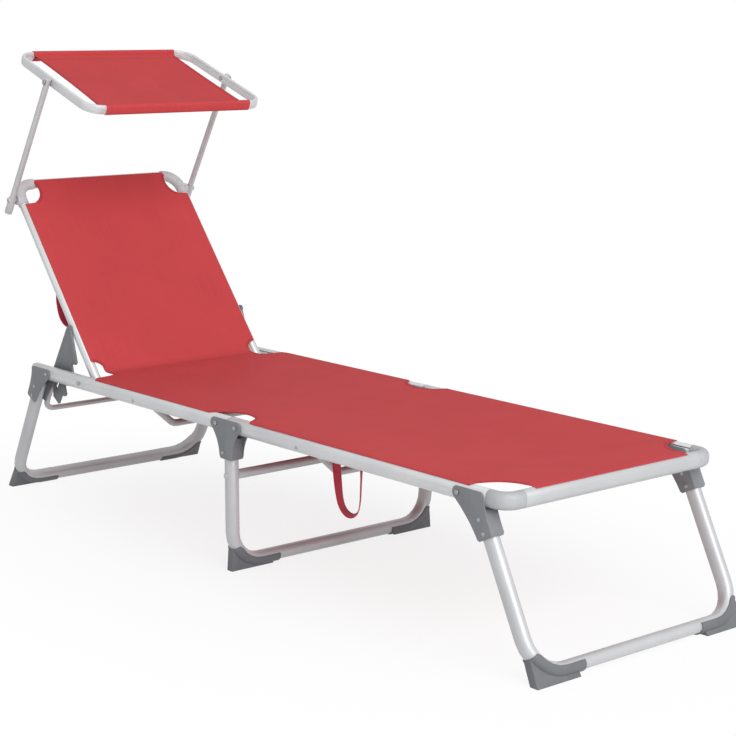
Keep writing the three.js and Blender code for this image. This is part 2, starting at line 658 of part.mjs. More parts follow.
function footSlingOutline() {
  const start = SLING_SEAM_GAP / 2;
  const end = FOOT_BAR_X - RAIL_WIDTH / 2 + SLING_EDGE_IN_SLOT;
  const wide = RAIL_HALF_SPACING - RAIL_WIDTH / 2 + SLING_EDGE_IN_SLOT;
  const narrow = wide - HINGE_NOTCH_DEPTH;
  const railTurn = Math.PI - Math.asin((RAIL_HALF_SPACING - wide) / FOOT_BITE_RADIUS);
  const endTurn = Math.acos((end - FOOT_BITE_X) / FOOT_BITE_RADIUS);
  const shape = new THREE.Shape();
  shape.moveTo(start, -narrow);
  shape.lineTo(HINGE_NOTCH_FOOT_FLAT, -narrow);
  shape.quadraticCurveTo(HINGE_NOTCH_FOOT_CONTROL, -narrow, HINGE_NOTCH_START, -wide);
  shape.absarc(FOOT_BITE_X, -RAIL_HALF_SPACING, FOOT_BITE_RADIUS, railTurn, endTurn, true);
  shape.absarc(FOOT_BITE_X, RAIL_HALF_SPACING, FOOT_BITE_RADIUS, -endTurn, -railTurn, true);
  shape.lineTo(HINGE_NOTCH_START, wide);
  shape.quadraticCurveTo(HINGE_NOTCH_FOOT_CONTROL, narrow, HINGE_NOTCH_FOOT_FLAT, narrow);
  shape.lineTo(start, narrow);
  return shape;
}

function backrestSlingOutline() {
  const top = -(BACKREST_LENGTH - BACKREST_TUBE_RADIUS + SLING_EDGE_IN_SLOT);
  const start = -CREASE_START;
  const wide = BACKREST_HALF_SPACING - BACKREST_TUBE_RADIUS + SLING_EDGE_IN_SLOT;
  const biteX = -(BACKREST_LENGTH - BACK_BITE_FROM_TOP);
  const biteY = BACKREST_HALF_SPACING - BACK_BITE_INSET;
  const tubeTurn = Math.asin((wide - biteY) / BACK_BITE_RADIUS);
  const barTurn = -Math.acos((top - biteX) / BACK_BITE_RADIUS);
  const bend = CREASE_HALF_WIDTH + CREASE_BACK_CONTROL;
  const shape = new THREE.Shape();
  shape.moveTo(start, CREASE_HALF_WIDTH);
  shape.quadraticCurveTo(start - CREASE_BACK_RUN, bend, start - CREASE_BACK_RUN, wide);
  shape.absarc(biteX, biteY, BACK_BITE_RADIUS, tubeTurn, barTurn, true);
  shape.absarc(biteX, -biteY, BACK_BITE_RADIUS, -barTurn, -tubeTurn, true);
  shape.lineTo(start - CREASE_BACK_RUN, -wide);
  shape.quadraticCurveTo(start - CREASE_BACK_RUN, -bend, start, -CREASE_HALF_WIDTH);
  return shape;
}

// The strip of mesh that bends where the seat meets the backrest
function creaseSling() {
  const half = SLING_THICKNESS / 2;
  const tilt = radians(BACKREST_ANGLE);
  const onBackrest = (along, rise) => [
    -BACKREST_PIVOT_X - along * Math.cos(tilt) + rise * Math.sin(tilt), along * Math.sin(tilt) + rise * Math.cos(tilt)];
  const rise = BACKREST_SLOT_RISE;
  const start = -(BACKREST_PIVOT_X - CREASE_START) - SLING_SEAM_GAP;
  const backEnd = CREASE_START - SLING_SEAM_GAP;
  const meetAlong = (SLOT_RISE - rise * Math.cos(tilt)) / Math.sin(tilt);
  const [meetX] = onBackrest(meetAlong, rise);
  const lift = half / Math.tan((Math.PI - tilt) / 2);
  const outline = outlineOf([
    [start, SLOT_RISE - half], [start, SLOT_RISE + half], [meetX + lift, SLOT_RISE + half],
    onBackrest(backEnd, rise + half), onBackrest(backEnd, rise - half), [meetX - lift, SLOT_RISE - half],
  ]);
  return plate(outline, 0, 2 * (CREASE_HALF_WIDTH - SLING_SEAM_GAP));
}

// Backrest

function backrestPath(fromX) {
  const y = BACKREST_HALF_SPACING;
  const top = -BACKREST_LENGTH;
  return [at(fromX, -y, 0), at(top, -y, 0), at(top, y, 0), at(fromX, y, 0)];
}

function backrestFrame() {
  const body = bentTube(backrestPath(BACKREST_TAIL), BACKREST_BEND_RADIUS, BACKREST_TUBE_RADIUS, 5);
  const innerFace = BACKREST_HALF_SPACING - BACKREST_TUBE_RADIUS;
  const slotEnd = -BACKREST_LENGTH + BACKREST_BEND_RADIUS + BACKREST_SLEEVE_BAR_ARM;
  const cuts = [];
  for (const [, side] of SIDES) {
    cuts.push(slotAlongX(side, innerFace, BACKREST_SLOT_DEPTH, BACKREST_SLOT_RISE, slotEnd, BACKREST_TAIL + CUT_OVERRUN));
    const to = side * (BACKREST_HALF_SPACING + BACKREST_TUBE_RADIUS + CUT_OVERRUN);
    cuts.push(crossRod(0, 0, side * (innerFace - CUT_OVERRUN), to, PIN_RADIUS + PIN_GAP));
    for (const along of [SUPPORT_PIVOT_ALONG, ROD_PIVOT_ALONG]) {
      const from = side * (BACKREST_HALF_SPACING - BLIND_HOLE_DEPTH - SEAT_GAP);
      cuts.push(crossRod(-along, 0, from, to, PIN_RADIUS + PIN_GAP));
    }
  }
  const barInner = -BACKREST_LENGTH + BACKREST_TUBE_RADIUS;
  const barHalf = BACKREST_HALF_SPACING - BACKREST_BEND_RADIUS - SEAT_GAP;
  cuts.push(block(barInner - BACKREST_SLOT_DEPTH, barInner + CUT_OVERRUN, -barHalf, barHalf,
    BACKREST_SLOT_RISE - SLOT_HEIGHT / 2, BACKREST_SLOT_RISE + SLOT_HEIGHT / 2));
  return cut(body, ...cuts);
}

function backrestSleeve(side) {
  const y = side * BACKREST_HALF_SPACING;
  const top = -BACKREST_LENGTH;
  const sideArm = BACKREST_BEND_RADIUS + BACKREST_SLEEVE_SIDE_ARM;
  const barArm = BACKREST_BEND_RADIUS + BACKREST_SLEEVE_BAR_ARM;
  const pathPast = (more) => [at(top + sideArm + more, y, 0), at(top, y, 0), at(top, y - side * (barArm + more), 0)];
  const outside = bentTube(pathPast(0), BACKREST_BEND_RADIUS, BACKREST_SLEEVE_RADIUS, 5);
  const inside = bentTube(pathPast(CUT_OVERRUN), BACKREST_BEND_RADIUS, BACKREST_TUBE_RADIUS + SEAT_GAP, 5);
  const bossEnd = side * (BACKREST_HALF_SPACING + BACKREST_SLEEVE_RADIUS + KNUCKLE_HEIGHT);
  const boss = crossRod(-ROD_PIVOT_ALONG, 0, y + side * BACKREST_TUBE_RADIUS / 2, bossEnd, KNUCKLE_RADIUS);
  const hole = crossRod(-ROD_PIVOT_ALONG, 0, y, bossEnd + side * CUT_OVERRUN, PIN_RADIUS + PIN_GAP);
  return cut(join(outside, boss), inside, hole);
}

function backrestPin(side) {
  const railOuter = RAIL_HALF_SPACING + RAIL_WIDTH / 2 + SEAT_GAP;
  const tubeInner = BACKREST_HALF_SPACING - BACKREST_TUBE_RADIUS - SEAT_GAP;
  const spacerFrom = side * (BACKREST_HALF_SPACING + BACKREST_TUBE_RADIUS + SEAT_GAP);
  const spacerTo = side * (RAIL_HALF_SPACING - RAIL_WIDTH / 2 - SEAT_GAP);
  return join(pin(side, 0, 0, tubeInner, railOuter), crossRod(0, 0, spacerFrom, spacerTo, SPACER_RADIUS));
}

// Support bar

function supportBar() {
  const low = -SUPPORT_LENGTH;
  const start = -(SUPPORT_ARM_LENGTH + SEAT_GAP);
  const y = SUPPORT_TUBE_Y;
  const bar = bentTube([at(0, -y, start), at(0, -y, low), at(0, y, low), at(0, y, start)],
    SUPPORT_BEND_RADIUS, SUPPORT_TUBE_RADIUS, 5, 12);
  const bores = SIDES.map(([, side]) => tube([at(0, side * y, start + CUT_OVERRUN),
    at(0, side * y, start - SUPPORT_TONGUE_LENGTH - SEAT_GAP)], SUPPORT_TUBE_RADIUS - SUPPORT_TUBE_WALL, 12));
  return cut(bar, ...bores);
}

// The rack's teeth: a slope up to each tip, then a step back under it
function rackOutline() {
  const half = SUPPORT_ARM_WIDTH / 2;
  const shape = new THREE.Shape();
  shape.moveTo(-half, -SUPPORT_ARM_LENGTH);
  shape.lineTo(-half, 0);
  shape.absarc(0, 0, half, Math.PI, 0, true);
  shape.lineTo(RACK_SHOULDER, -RACK_START);
  for (let tooth = 0; tooth < RACK_TOOTH_COUNT; tooth += 1) {
    const tip = RACK_FIRST_TIP + tooth * RACK_PITCH;
    const rise = tooth === 0 ? RACK_PITCH * 0.7 : RACK_PITCH - RACK_STEP * 2;
    if (tooth === 0) {
      shape.lineTo(RACK_VALLEY * 0.85, -(tip - rise));
    }
    shape.lineTo(RACK_TIP, -(tip - RACK_STEP / 3));
    shape.lineTo(RACK_TIP - RACK_STEP / 6, -(tip + RACK_STEP / 2));
    shape.lineTo(RACK_VALLEY + RACK_STEP / 4, -(tip + RACK_STEP));
    shape.lineTo(RACK_VALLEY, -(tip + RACK_STEP * 1.9));
  }
  shape.lineTo(RACK_VALLEY, -RACK_END);
  shape.lineTo(RACK_SHOULDER, -RACK_END);
  shape.lineTo(half, -(SUPPORT_ARM_LENGTH + SUPPORT_ARM_WIDTH / 2));
  shape.lineTo(half, -SUPPORT_ARM_LENGTH);
  return shape;
}

// One moulded arm: an eye on the pivot, the hooked teeth, and a tongue that plugs the tube
function rack(side) {
  const body = plate(rackOutline(), side * SUPPORT_ARM_Y, RACK_THICKNESS);
  const y = side * SUPPORT_TUBE_Y;
  const ferrule = tube([at(0, y, -SUPPORT_ARM_LENGTH + SUPPORT_FERRULE_LENGTH), at(0, y, -SUPPORT_ARM_LENGTH)],
    SUPPORT_TUBE_RADIUS, 12);
  const tongue = tube([at(0, y, -SUPPORT_ARM_LENGTH + SUPPORT_FERRULE_LENGTH / 2),
    at(0, y, -SUPPORT_ARM_LENGTH - SUPPORT_TONGUE_LENGTH)], SUPPORT_TUBE_RADIUS - SUPPORT_TUBE_WALL - PIN_GAP, 12);
  const armOuter = SUPPORT_ARM_Y + RACK_THICKNESS / 2;
  const pivot = crossRod(0, 0, side * (BACKREST_HALF_SPACING - BLIND_HOLE_DEPTH), side * SUPPORT_ARM_Y, PIN_RADIUS, 12);
  const rivet = crossRod(0, 0, side * SUPPORT_ARM_Y, side * (armOuter + SUPPORT_RIVET_HEIGHT), PIN_HEAD_RADIUS, 12);
  const from = side * (SUPPORT_ARM_Y - RACK_THICKNESS);
  const to = side * (SUPPORT_ARM_Y + RACK_THICKNESS);
  const notches = [];
  for (let tooth = 0; tooth < RACK_TOOTH_COUNT; tooth += 1) {
    const along = RACK_FIRST_TIP + tooth * RACK_PITCH + RACK_STEP + STUD_RADIUS;
    notches.push(crossRod((RACK_VALLEY + RACK_TIP) / 2, -along, from, to, RACK_NOTCH_RADIUS));
  }
  const slot = new THREE.Shape();
  const round = (RACK_SLOT_FAR - RACK_SLOT_NEAR) / 4;
  const x = (RACK_SLOT_NEAR + RACK_SLOT_FAR) / 2;
  slot.absarc(x, -RACK_SLOT_START, round, 0, Math.PI);
  slot.absarc(x, -RACK_SLOT_END, round, Math.PI, 2 * Math.PI);
  const window = plate(slot, side * SUPPORT_ARM_Y, RACK_THICKNESS + 2 * CUT_OVERRUN);
  return cut(join(body, ferrule, tongue, pivot, rivet), window, ...notches);
}

// The stud that holds a tooth, on the inside of the rail; it ends beside the rack
function stud(side) {
  const tilt = radians(SUPPORT_ANGLE);
  const along = RACK_FIRST_TIP + RACK_PITCH + RACK_STEP + STUD_RADIUS;
  const out = (RACK_VALLEY + RACK_TIP) / 2;
  const rivetX = -BACKREST_PIVOT_X - SUPPORT_PIVOT_ALONG * Math.cos(radians(BACKREST_ANGLE));
  const rivetZ = SUPPORT_PIVOT_ALONG * Math.sin(radians(BACKREST_ANGLE));
  const x = rivetX - along * Math.sin(tilt) + out * Math.cos(tilt);
  const z = rivetZ - along * Math.cos(tilt) - out * Math.sin(tilt);
  const railFace = side * (RAIL_HALF_SPACING - RAIL_WIDTH / 2 - SEAT_GAP);
  const tip = side * (SUPPORT_ARM_Y + RACK_THICKNESS / 2 + SEAT_GAP);
  const collarEnd = side * (RAIL_HALF_SPACING - RAIL_WIDTH / 2 - SEAT_GAP - STUD_COLLAR_HEIGHT);
  return join(crossRod(x, z, railFace, tip, STUD_RADIUS), crossRod(x, z, railFace, collarEnd, STUD_COLLAR_RADIUS));
}

// Sunshade

function rod(side) {
  const lean = (ROD_Y - ROD_TOP_Y) / ROD_REACH;
  const onRod = (up) => at(0, side * (ROD_Y - lean * up), up);
  const body = tube([onRod(0), onRod(ROD_REACH + ROD_TOP_OVERRUN)], ROD_RADIUS, 12);
  const holder = tube([onRod(-ROD_TAIL), onRod(HOLDER_LENGTH - ROD_TAIL)], HOLDER_RADIUS);
  const bore = tube([onRod(-ROD_TAIL - CUT_OVERRUN), onRod(-ROD_TAIL + ROD_BORE_DEPTH)], ROD_BORE_RADIUS, 12);
  const inner = side * (BACKREST_HALF_SPACING - BLIND_HOLE_DEPTH);
  const clampTo = side * (ROD_Y + HOLDER_RADIUS + CLAMP_THICKNESS);
  const bolt = crossRod(0, 0, inner, clampTo, PIN_RADIUS);
  const head = crossRod(0, 0, side * (ROD_Y + HOLDER_RADIUS / 2), clampTo, CLAMP_RADIUS);
  const holeTop = crossRod(0, ROD_REACH, side * (ROD_TOP_Y - 2 * ROD_RADIUS), side * (ROD_TOP_Y + 2 * ROD_RADIUS),
    SCREW_RADIUS + PIN_GAP);
  return cut(join(body, holder, bolt, head), bore, holeTop);
}

function roundedRectangle(target, halfY, backX, frontX, radius) {
  target.moveTo(frontX, -halfY + radius);
  target.lineTo(frontX, halfY - radius);
  target.absarc(frontX - radius, halfY - radius, radius, 0, Math.PI / 2, false);
  target.lineTo(backX + radius, halfY);
  target.absarc(backX + radius, halfY - radius, radius, Math.PI / 2, Math.PI, false);
  target.lineTo(backX, -halfY + radius);
  target.absarc(backX + radius, -halfY + radius, radius, Math.PI, 1.5 * Math.PI, false);
  target.lineTo(frontX - radius, -halfY);
  target.absarc(frontX - radius, -halfY + radius, radius, 1.5 * Math.PI, 2 * Math.PI, false);
  return target;
}

// One flat oval tube bent into a ring with round corners
function canopyFrame() {
  const half = CANOPY_TUBE_WIDTH / 2 - CANOPY_TUBE_ROUND;
  const outer = roundedRectangle(new THREE.Shape(), CANOPY_HALF_WIDTH + half, -CANOPY_BACK - half,
    CANOPY_FRONT + half, CANOPY_CORNER_RADIUS + half);
  outer.holes.push(roundedRectangle(new THREE.Path(), CANOPY_HALF_WIDTH - half, -CANOPY_BACK + half,
    CANOPY_FRONT - half, CANOPY_CORNER_RADIUS - half));
  const ring = new THREE.ExtrudeGeometry(outer, {
    depth: CANOPY_TUBE_HEIGHT - 2 * CANOPY_TUBE_ROUND,
    bevelEnabled: true,
    bevelThickness: CANOPY_TUBE_ROUND,
    bevelSize: CANOPY_TUBE_ROUND,
    bevelSegments: 2,
    curveSegments: 3,
  }).translate(0, 0, -CANOPY_TUBE_HEIGHT / 2 + CANOPY_TUBE_ROUND);
  const holes = SIDES.map(([, side]) => crossRod(0, 0, side * (CANOPY_HALF_WIDTH - CANOPY_TUBE_WIDTH),
    side * (CANOPY_HALF_WIDTH + CANOPY_TUBE_WIDTH), SCREW_RADIUS + PIN_GAP));
  return cut(ring, ...holes);
}

// The cover: a taut panel with a sleeve round the front bar and the back bar
function canopyCover() {
  const sleeveOutline = (x, grow) => {
    const halfX = CANOPY_TUBE_WIDTH / 2 + SHADE_GAP + grow;
    const halfZ = CANOPY_TUBE_HEIGHT / 2 + SHADE_GAP + grow;
    const shape = new THREE.Shape();
    shape.absarc(x, halfZ - halfX, halfX, 0, Math.PI);
    shape.absarc(x, -halfZ + halfX, halfX, Math.PI, 2 * Math.PI);
    return shape;
  };
  const sleeveHalf = CANOPY_HALF_WIDTH - SHADE_SLEEVE_INSET;
  const back = -CANOPY_BACK;
  const front = CANOPY_FRONT;
  const edge = [
    [front, sleeveHalf], [front - SHADE_CORNER_SETBACK, sleeveHalf],
    [front - SHADE_CORNER_SETBACK - SHADE_CORNER_RUN, CANOPY_HALF_WIDTH - SHADE_FRONT_INSET],
    [back + SHADE_CORNER_SETBACK + SHADE_CORNER_RUN, CANOPY_HALF_WIDTH - SHADE_BACK_INSET],
    [back + SHADE_CORNER_SETBACK, sleeveHalf], [back, sleeveHalf],
  ];
  const panelShape = outlineOf([...edge, ...edge.map(([x, y]) => [x, -y]).reverse()]);
  const width = 2 * sleeveHalf;
  const panel = sheet(panelShape, 0, SHADE_THICKNESS);
  const sleeves = [back, front].map((x) => plate(sleeveOutline(x, SHADE_THICKNESS), 0, width));
  const bores = [back, front].map((x) => plate(sleeveOutline(x, 0), 0, width + 2 * CUT_OVERRUN));
  return cut(join(panel, ...sleeves), ...bores);
}

function canopyScrew(side) {
  const outerY = ROD_TOP_Y + ROD_RADIUS + 2.5 * SEAT_GAP;
  const innerY = CANOPY_HALF_WIDTH - CANOPY_TUBE_WIDTH / 2 - SEAT_GAP;
  const headEnd = side * (outerY + SCREW_HEAD_HEIGHT);
  const nutEnd = side * (innerY - PIN_HEAD_HEIGHT);
  return join(crossRod(0, 0, nutEnd, headEnd, SCREW_RADIUS, 12),
    crossRod(0, 0, side * outerY, headEnd, SCREW_HEAD_RADIUS, 12),
    crossRod(0, 0, nutEnd, side * innerY, PIN_HEAD_RADIUS, 12));
}

// Straps: a loop of webbing that hangs from a sling's underside
function strapLoop(centreX, spread, drop, underside, centreY, leanY) {
  const half = spread / 2;
  const top = underside - SEAT_GAP - STRAP_THICKNESS / 2;
  const steps = 10;
  const outer = [];
  const inner = [];
  for (let k = 0; k <= steps; k += 1) {
    const turn = Math.PI * k / steps;
    const x = centreX - half * Math.cos(turn);
    const z = top - drop * Math.pow(Math.sin(turn), 0.8);
    const grow = STRAP_THICKNESS;
    outer.push([x, z]);
    inner.push([centreX - (half - grow) * Math.cos(turn), top - (drop - grow) * Math.pow(Math.sin(turn), 0.8)]);
  }
  const tab = STRAP_WIDTH;
  const points = [
    [centreX - half - tab, top + STRAP_THICKNESS / 2], [centreX - half - tab, top - STRAP_THICKNESS / 2],
    ...outer.slice(0).map(([x, z]) => [x, z - STRAP_THICKNESS / 2]),
    [centreX + half + tab, top - STRAP_THICKNESS / 2], [centreX + half + tab, top + STRAP_THICKNESS / 2],
    [centreX + half - STRAP_THICKNESS, top + STRAP_THICKNESS / 2],
    ...inner.slice(1, -1).reverse().map(([x, z]) => [x, z]),
    [centreX - half + STRAP_THICKNESS, top + STRAP_THICKNESS / 2],
  ];
  return plate(outlineOf(points), centreY + leanY, STRAP_WIDTH);
}

// Bodies

function fillSeatFrame(group) {
  for (const [label, side] of SIDES) {
    const head = -SEAT_RAIL_END + RAIL_CAP_LENGTH + SEAT_GAP;
    piece(group, `seat_rail_${label}`,
      rail(side, head, -RAIL_END_AT_HINGE, [-HEAD_LEG_PIVOT_X, -BACKREST_PIVOT_X, -HINGE_OFFSET]), 'rail');
    piece(group, `seat_rail_cap_${label}`, railCap(side, -SEAT_RAIL_END, -SEAT_RAIL_END + RAIL_CAP_LENGTH), 'cap');
    piece(group, `rack_stud_${label}`, stud(side), 'pin');
  }
  piece(group, 'seat_cross_tube', bowedCrossTube(-SEAT_CROSS_TUBE_X), 'leg');
  piece(group, 'seat_sling', sheet(seatSlingOutline(), SLOT_RISE, SLING_THICKNESS), 'sling');
  piece(group, 'crease_sling', creaseSling(), 'sling');
}

function fillMiddleLeg(group) {
  const barDrop = RAIL_HEIGHT_ABOVE_GROUND - LEG_BAR_HEIGHT;
  const mid = HINGE_OFFSET;
  const parts = new THREE.Group();
  parts.position.x = mid;
  group.add(parts);
  const barZ = -(MIDDLE_BRACKET_FOOT_DROP + MIDDLE_CROSSBAR_CLEARANCE + MIDDLE_CROSSBAR_RADIUS);
  const buttons = SIDES.map(([, side]) => crossRod(0, barZ, side * RAIL_HALF_SPACING,
    side * (RAIL_HALF_SPACING + LEG_TUBE_RADIUS + CROSSBAR_BUTTON_HEIGHT), CROSSBAR_BUTTON_RADIUS, 12));
  piece(parts, 'middle_leg_tube', join(legTube(0, MIDDLE_LEG_TOP_DROP, barDrop), ...buttons), 'leg');
  const saddle = legTube(0, MIDDLE_LEG_TOP_DROP, barDrop, SEAT_GAP);
  const bar = crossRod(0, barZ, -RAIL_HALF_SPACING, RAIL_HALF_SPACING, MIDDLE_CROSSBAR_RADIUS);
  piece(parts, 'middle_crossbar', cut(bar, saddle, ...[-1, 1].map((side) => block(-RAIL_WIDTH, RAIL_WIDTH,
    side * (RAIL_HALF_SPACING - SEAT_GAP), side * (RAIL_HALF_SPACING + RAIL_WIDTH),
    barZ - RAIL_WIDTH, barZ + RAIL_WIDTH))), 'leg');
  for (const [label, side] of SIDES) {
    piece(parts, `middle_bracket_${label}`, middleBracket(side), 'plastic');
    piece(parts, `middle_foot_${label}`, shoe(side, 0, MIDDLE_LEG_TOP_DROP, barDrop, 0), 'plastic');
    piece(parts, `middle_pin_head_${label}`, bracketPin(side, -HINGE_OFFSET), 'pin');
    piece(parts, `middle_pin_foot_${label}`, bracketPin(side, HINGE_OFFSET), 'pin');
  }
}

function fillOuterLeg(group, label, outward, lean) {
  const barDrop = legLength(lean);
  const offset = outward * LEG_OFFSET;
  piece(group, `${label}_leg_tube`, legTube(offset, LEG_TOP_DROP, barDrop), 'leg');
  for (const [sideLabel, side] of SIDES) {
    piece(group, `${label}_leg_bracket_${sideLabel}`, bracket(side, outward, lean), 'plastic');
    piece(group, `${label}_leg_foot_${sideLabel}`, shoe(side, offset, LEG_TOP_DROP, barDrop, outward * lean), 'plastic');
    piece(group, `${label}_leg_pin_${sideLabel}`, bracketPin(side, 0), 'pin');
  }
}

// The rails' oval section swept along a flat path
function ovalTube(stations, grow = 0) {
  return sweptOval(stations, RAIL_WIDTH / 2 + grow, RAIL_HEIGHT - RAIL_WIDTH);
}

function elbow(side) {
  const y = side * RAIL_HALF_SPACING;
  const endX = FOOT_BAR_X - HINGE_OFFSET;
  const start = endX - ELBOW_REACH;
  const endY = y - side * ELBOW_REACH;
  const bend = roundCorners([at(start, y, 0), at(endX, y, 0), at(endX, endY, 0)], ELBOW_BEND_RADIUS, 6);
  const inRail = [at(start - ELBOW_PLUG, y, 0), at(start + ELBOW_WALL, y, 0)];
  const inBar = [at(endX, endY - side * ELBOW_PLUG, 0), at(endX, endY + side * ELBOW_WALL, 0)];
  const plug = -ELBOW_WALL - ELBOW_PLUG_GAP;
  return join(ovalTube(bend), ovalTube(inRail, plug), ovalTube(inBar, plug));
}

// The straight bar at the foot: slotted on its inner side, bored at both ends for the elbows
function footEndBar() {
  const barX = FOOT_BAR_X - HINGE_OFFSET;
  const half = RAIL_HALF_SPACING - ELBOW_REACH - SEAT_GAP;
  const slotInner = barX - RAIL_WIDTH / 2;
  const slot = block(slotInner - CUT_OVERRUN, slotInner + SLOT_DEPTH, -FOOT_NOTCH_END - SLOT_DEPTH,
    FOOT_NOTCH_END + SLOT_DEPTH, SLOT_RISE - SLOT_HEIGHT / 2, SLOT_RISE + SLOT_HEIGHT / 2);
  const bores = SIDES.map(([, side]) => ovalTube(
    [at(barX, side * (half - ELBOW_PLUG - SEAT_GAP), 0), at(barX, side * (half + CUT_OVERRUN), 0)], -ELBOW_WALL));
  return cut(ovalTube([at(barX, -half, 0), at(barX, half, 0)]), slot, ...bores);
}

function footRail(side) {
  const start = RAIL_END_AT_HINGE - HINGE_OFFSET;
  const end = FOOT_BAR_X - HINGE_OFFSET - ELBOW_REACH - SEAT_GAP;
  const body = rail(side, start, end, [0, FOOT_LEG_PIVOT_X - HINGE_OFFSET]);
  return cut(body, alongX(railSection(side, -ELBOW_WALL), end - ELBOW_PLUG - SEAT_GAP, end + CUT_OVERRUN));
}

function fillFootSection(group) {
  for (const [label, side] of SIDES) {
    piece(group, `foot_rail_${label}`, footRail(side), 'rail');
    piece(group, `foot_elbow_${label}`, elbow(side), 'elbow');
  }
  piece(group, 'foot_end_bar', footEndBar(), 'rail');
  piece(group, 'foot_cross_tube', bowedCrossTube(FOOT_CROSS_TUBE_X - HINGE_OFFSET), 'leg');
  piece(group, 'foot_sling',
    sheet(footSlingOutline(), SLOT_RISE, SLING_THICKNESS).translate(-HINGE_OFFSET, 0, 0), 'sling');
  piece(group, 'foot_strap', strapLoop(FOOT_STRAP_X - HINGE_OFFSET, FOOT_STRAP_SPREAD, FOOT_STRAP_DROP,
    SLOT_RISE - SLING_THICKNESS / 2, -RAIL_HALF_SPACING + RAIL_WIDTH, STRAP_WIDTH), 'strap');
}

function fillBackrest(group) {
  piece(group, 'backrest_frame', backrestFrame(), 'rail');
  for (const [label, side] of SIDES) {
    piece(group, `backrest_sleeve_${label}`, backrestSleeve(side), 'elbow');
    piece(group, `backrest_pin_${label}`, backrestPin(side), 'pin');
  }
  piece(group, 'backrest_sling', sheet(backrestSlingOutline(), BACKREST_SLOT_RISE, SLING_THICKNESS), 'sling');
  piece(group, 'backrest_strap', strapLoop(-BACK_STRAP_ALONG, BACK_STRAP_SPREAD, BACK_STRAP_DROP,
    BACKREST_SLOT_RISE - SLING_THICKNESS / 2, -BACKREST_HALF_SPACING + RAIL_WIDTH, STRAP_WIDTH / 2), 'strap');
}

function fillSupport(group) {
  piece(group, 'support_bar', supportBar(), 'leg');
  for (const [label, side] of SIDES) {
    piece(group, `support_rack_${label}`, rack(side), 'rack');
  }
}

function fillCanopyArms(group) {
  for (const [label, side] of SIDES) {
    piece(group, `canopy_rod_${label}`, rod(side), 'leg');
  }
}

function fillCanopy(group) {
  piece(group, 'canopy_frame', canopyFrame(), 'leg');
  piece(group, 'canopy_cover', canopyCover(), 'sling');
  for (const [label, side] of SIDES) {
    piece(group, `canopy_screw_${label}`, canopyScrew(side), 'pin');
  }
}

const seatFrame = new THREE.Group();
seatFrame.name = 'seat_frame_body';
seatFrame.position.z = RAIL_HEIGHT_ABOVE_GROUND;
fillSeatFrame(seatFrame);

const middleLeg = movingBody(seatFrame, 'middle_leg_body', -HINGE_OFFSET, 0, 0);
fillMiddleLeg(middleLeg);

const footSection = movingBody(middleLeg, 'foot_section_body', 2 * HINGE_OFFSET, 0, 0);
fillFootSection(footSection);

const footLeg = movingBody(footSection, 'foot_leg_body', FOOT_LEG_PIVOT_X - HINGE_OFFSET, 0, -FOOT_LEG_LEAN);
fillOuterLeg(footLeg, 'foot', 1, FOOT_LEG_LEAN);

const headLeg = movingBody(seatFrame, 'head_leg_body', -HEAD_LEG_PIVOT_X, 0, HEAD_LEG_LEAN);
fillOuterLeg(headLeg, 'head', -1, HEAD_LEG_LEAN);

const backrest = movingBody(seatFrame, 'backrest_body', -BACKREST_PIVOT_X, 0, BACKREST_ANGLE);
fillBackrest(backrest);

const support = movingBody(backrest, 'support_body', -SUPPORT_PIVOT_ALONG, 0, SUPPORT_ANGLE - BACKREST_ANGLE);
fillSupport(support);

const canopyArms = movingBody(backrest, 'canopy_arms_body', -ROD_PIVOT_ALONG, 0, ROD_ANGLE - BACKREST_ANGLE);
fillCanopyArms(canopyArms);

const canopy = movingBody(canopyArms, 'canopy_body', 0, ROD_REACH, CANOPY_SLOPE - ROD_ANGLE);
fillCanopy(canopy);

// The whole lounger stands on the ground with the origin under the middle of its box
const lounger = new THREE.Group();
lounger.add(seatFrame);
lounger.updateMatrixWorld(true);
const box = new THREE.Box3().setFromObject(lounger, true);
seatFrame.position.x -= (box.min.x + box.max.x) / 2;
seatFrame.position.y -= (box.min.y + box.max.y) / 2;
seatFrame.position.z -= box.min.z;

export default lounger;
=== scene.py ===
import math

import bpy
import numpy as np
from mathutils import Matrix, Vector


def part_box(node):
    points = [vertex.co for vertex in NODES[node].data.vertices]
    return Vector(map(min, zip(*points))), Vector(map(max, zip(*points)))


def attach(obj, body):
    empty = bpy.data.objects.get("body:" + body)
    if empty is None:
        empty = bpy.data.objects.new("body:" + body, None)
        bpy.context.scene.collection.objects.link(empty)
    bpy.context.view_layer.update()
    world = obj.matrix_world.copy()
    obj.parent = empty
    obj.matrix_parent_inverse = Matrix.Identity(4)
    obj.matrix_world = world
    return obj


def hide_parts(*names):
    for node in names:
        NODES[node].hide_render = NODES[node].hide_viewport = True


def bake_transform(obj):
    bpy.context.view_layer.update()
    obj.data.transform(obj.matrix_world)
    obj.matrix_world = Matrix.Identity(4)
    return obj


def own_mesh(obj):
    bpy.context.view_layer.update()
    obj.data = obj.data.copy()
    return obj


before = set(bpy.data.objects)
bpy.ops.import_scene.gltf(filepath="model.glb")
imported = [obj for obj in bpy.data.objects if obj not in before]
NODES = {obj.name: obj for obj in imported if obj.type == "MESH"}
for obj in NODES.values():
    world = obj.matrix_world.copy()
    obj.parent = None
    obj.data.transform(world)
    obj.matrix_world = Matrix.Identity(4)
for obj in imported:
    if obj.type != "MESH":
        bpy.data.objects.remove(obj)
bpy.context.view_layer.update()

MM = 0.001

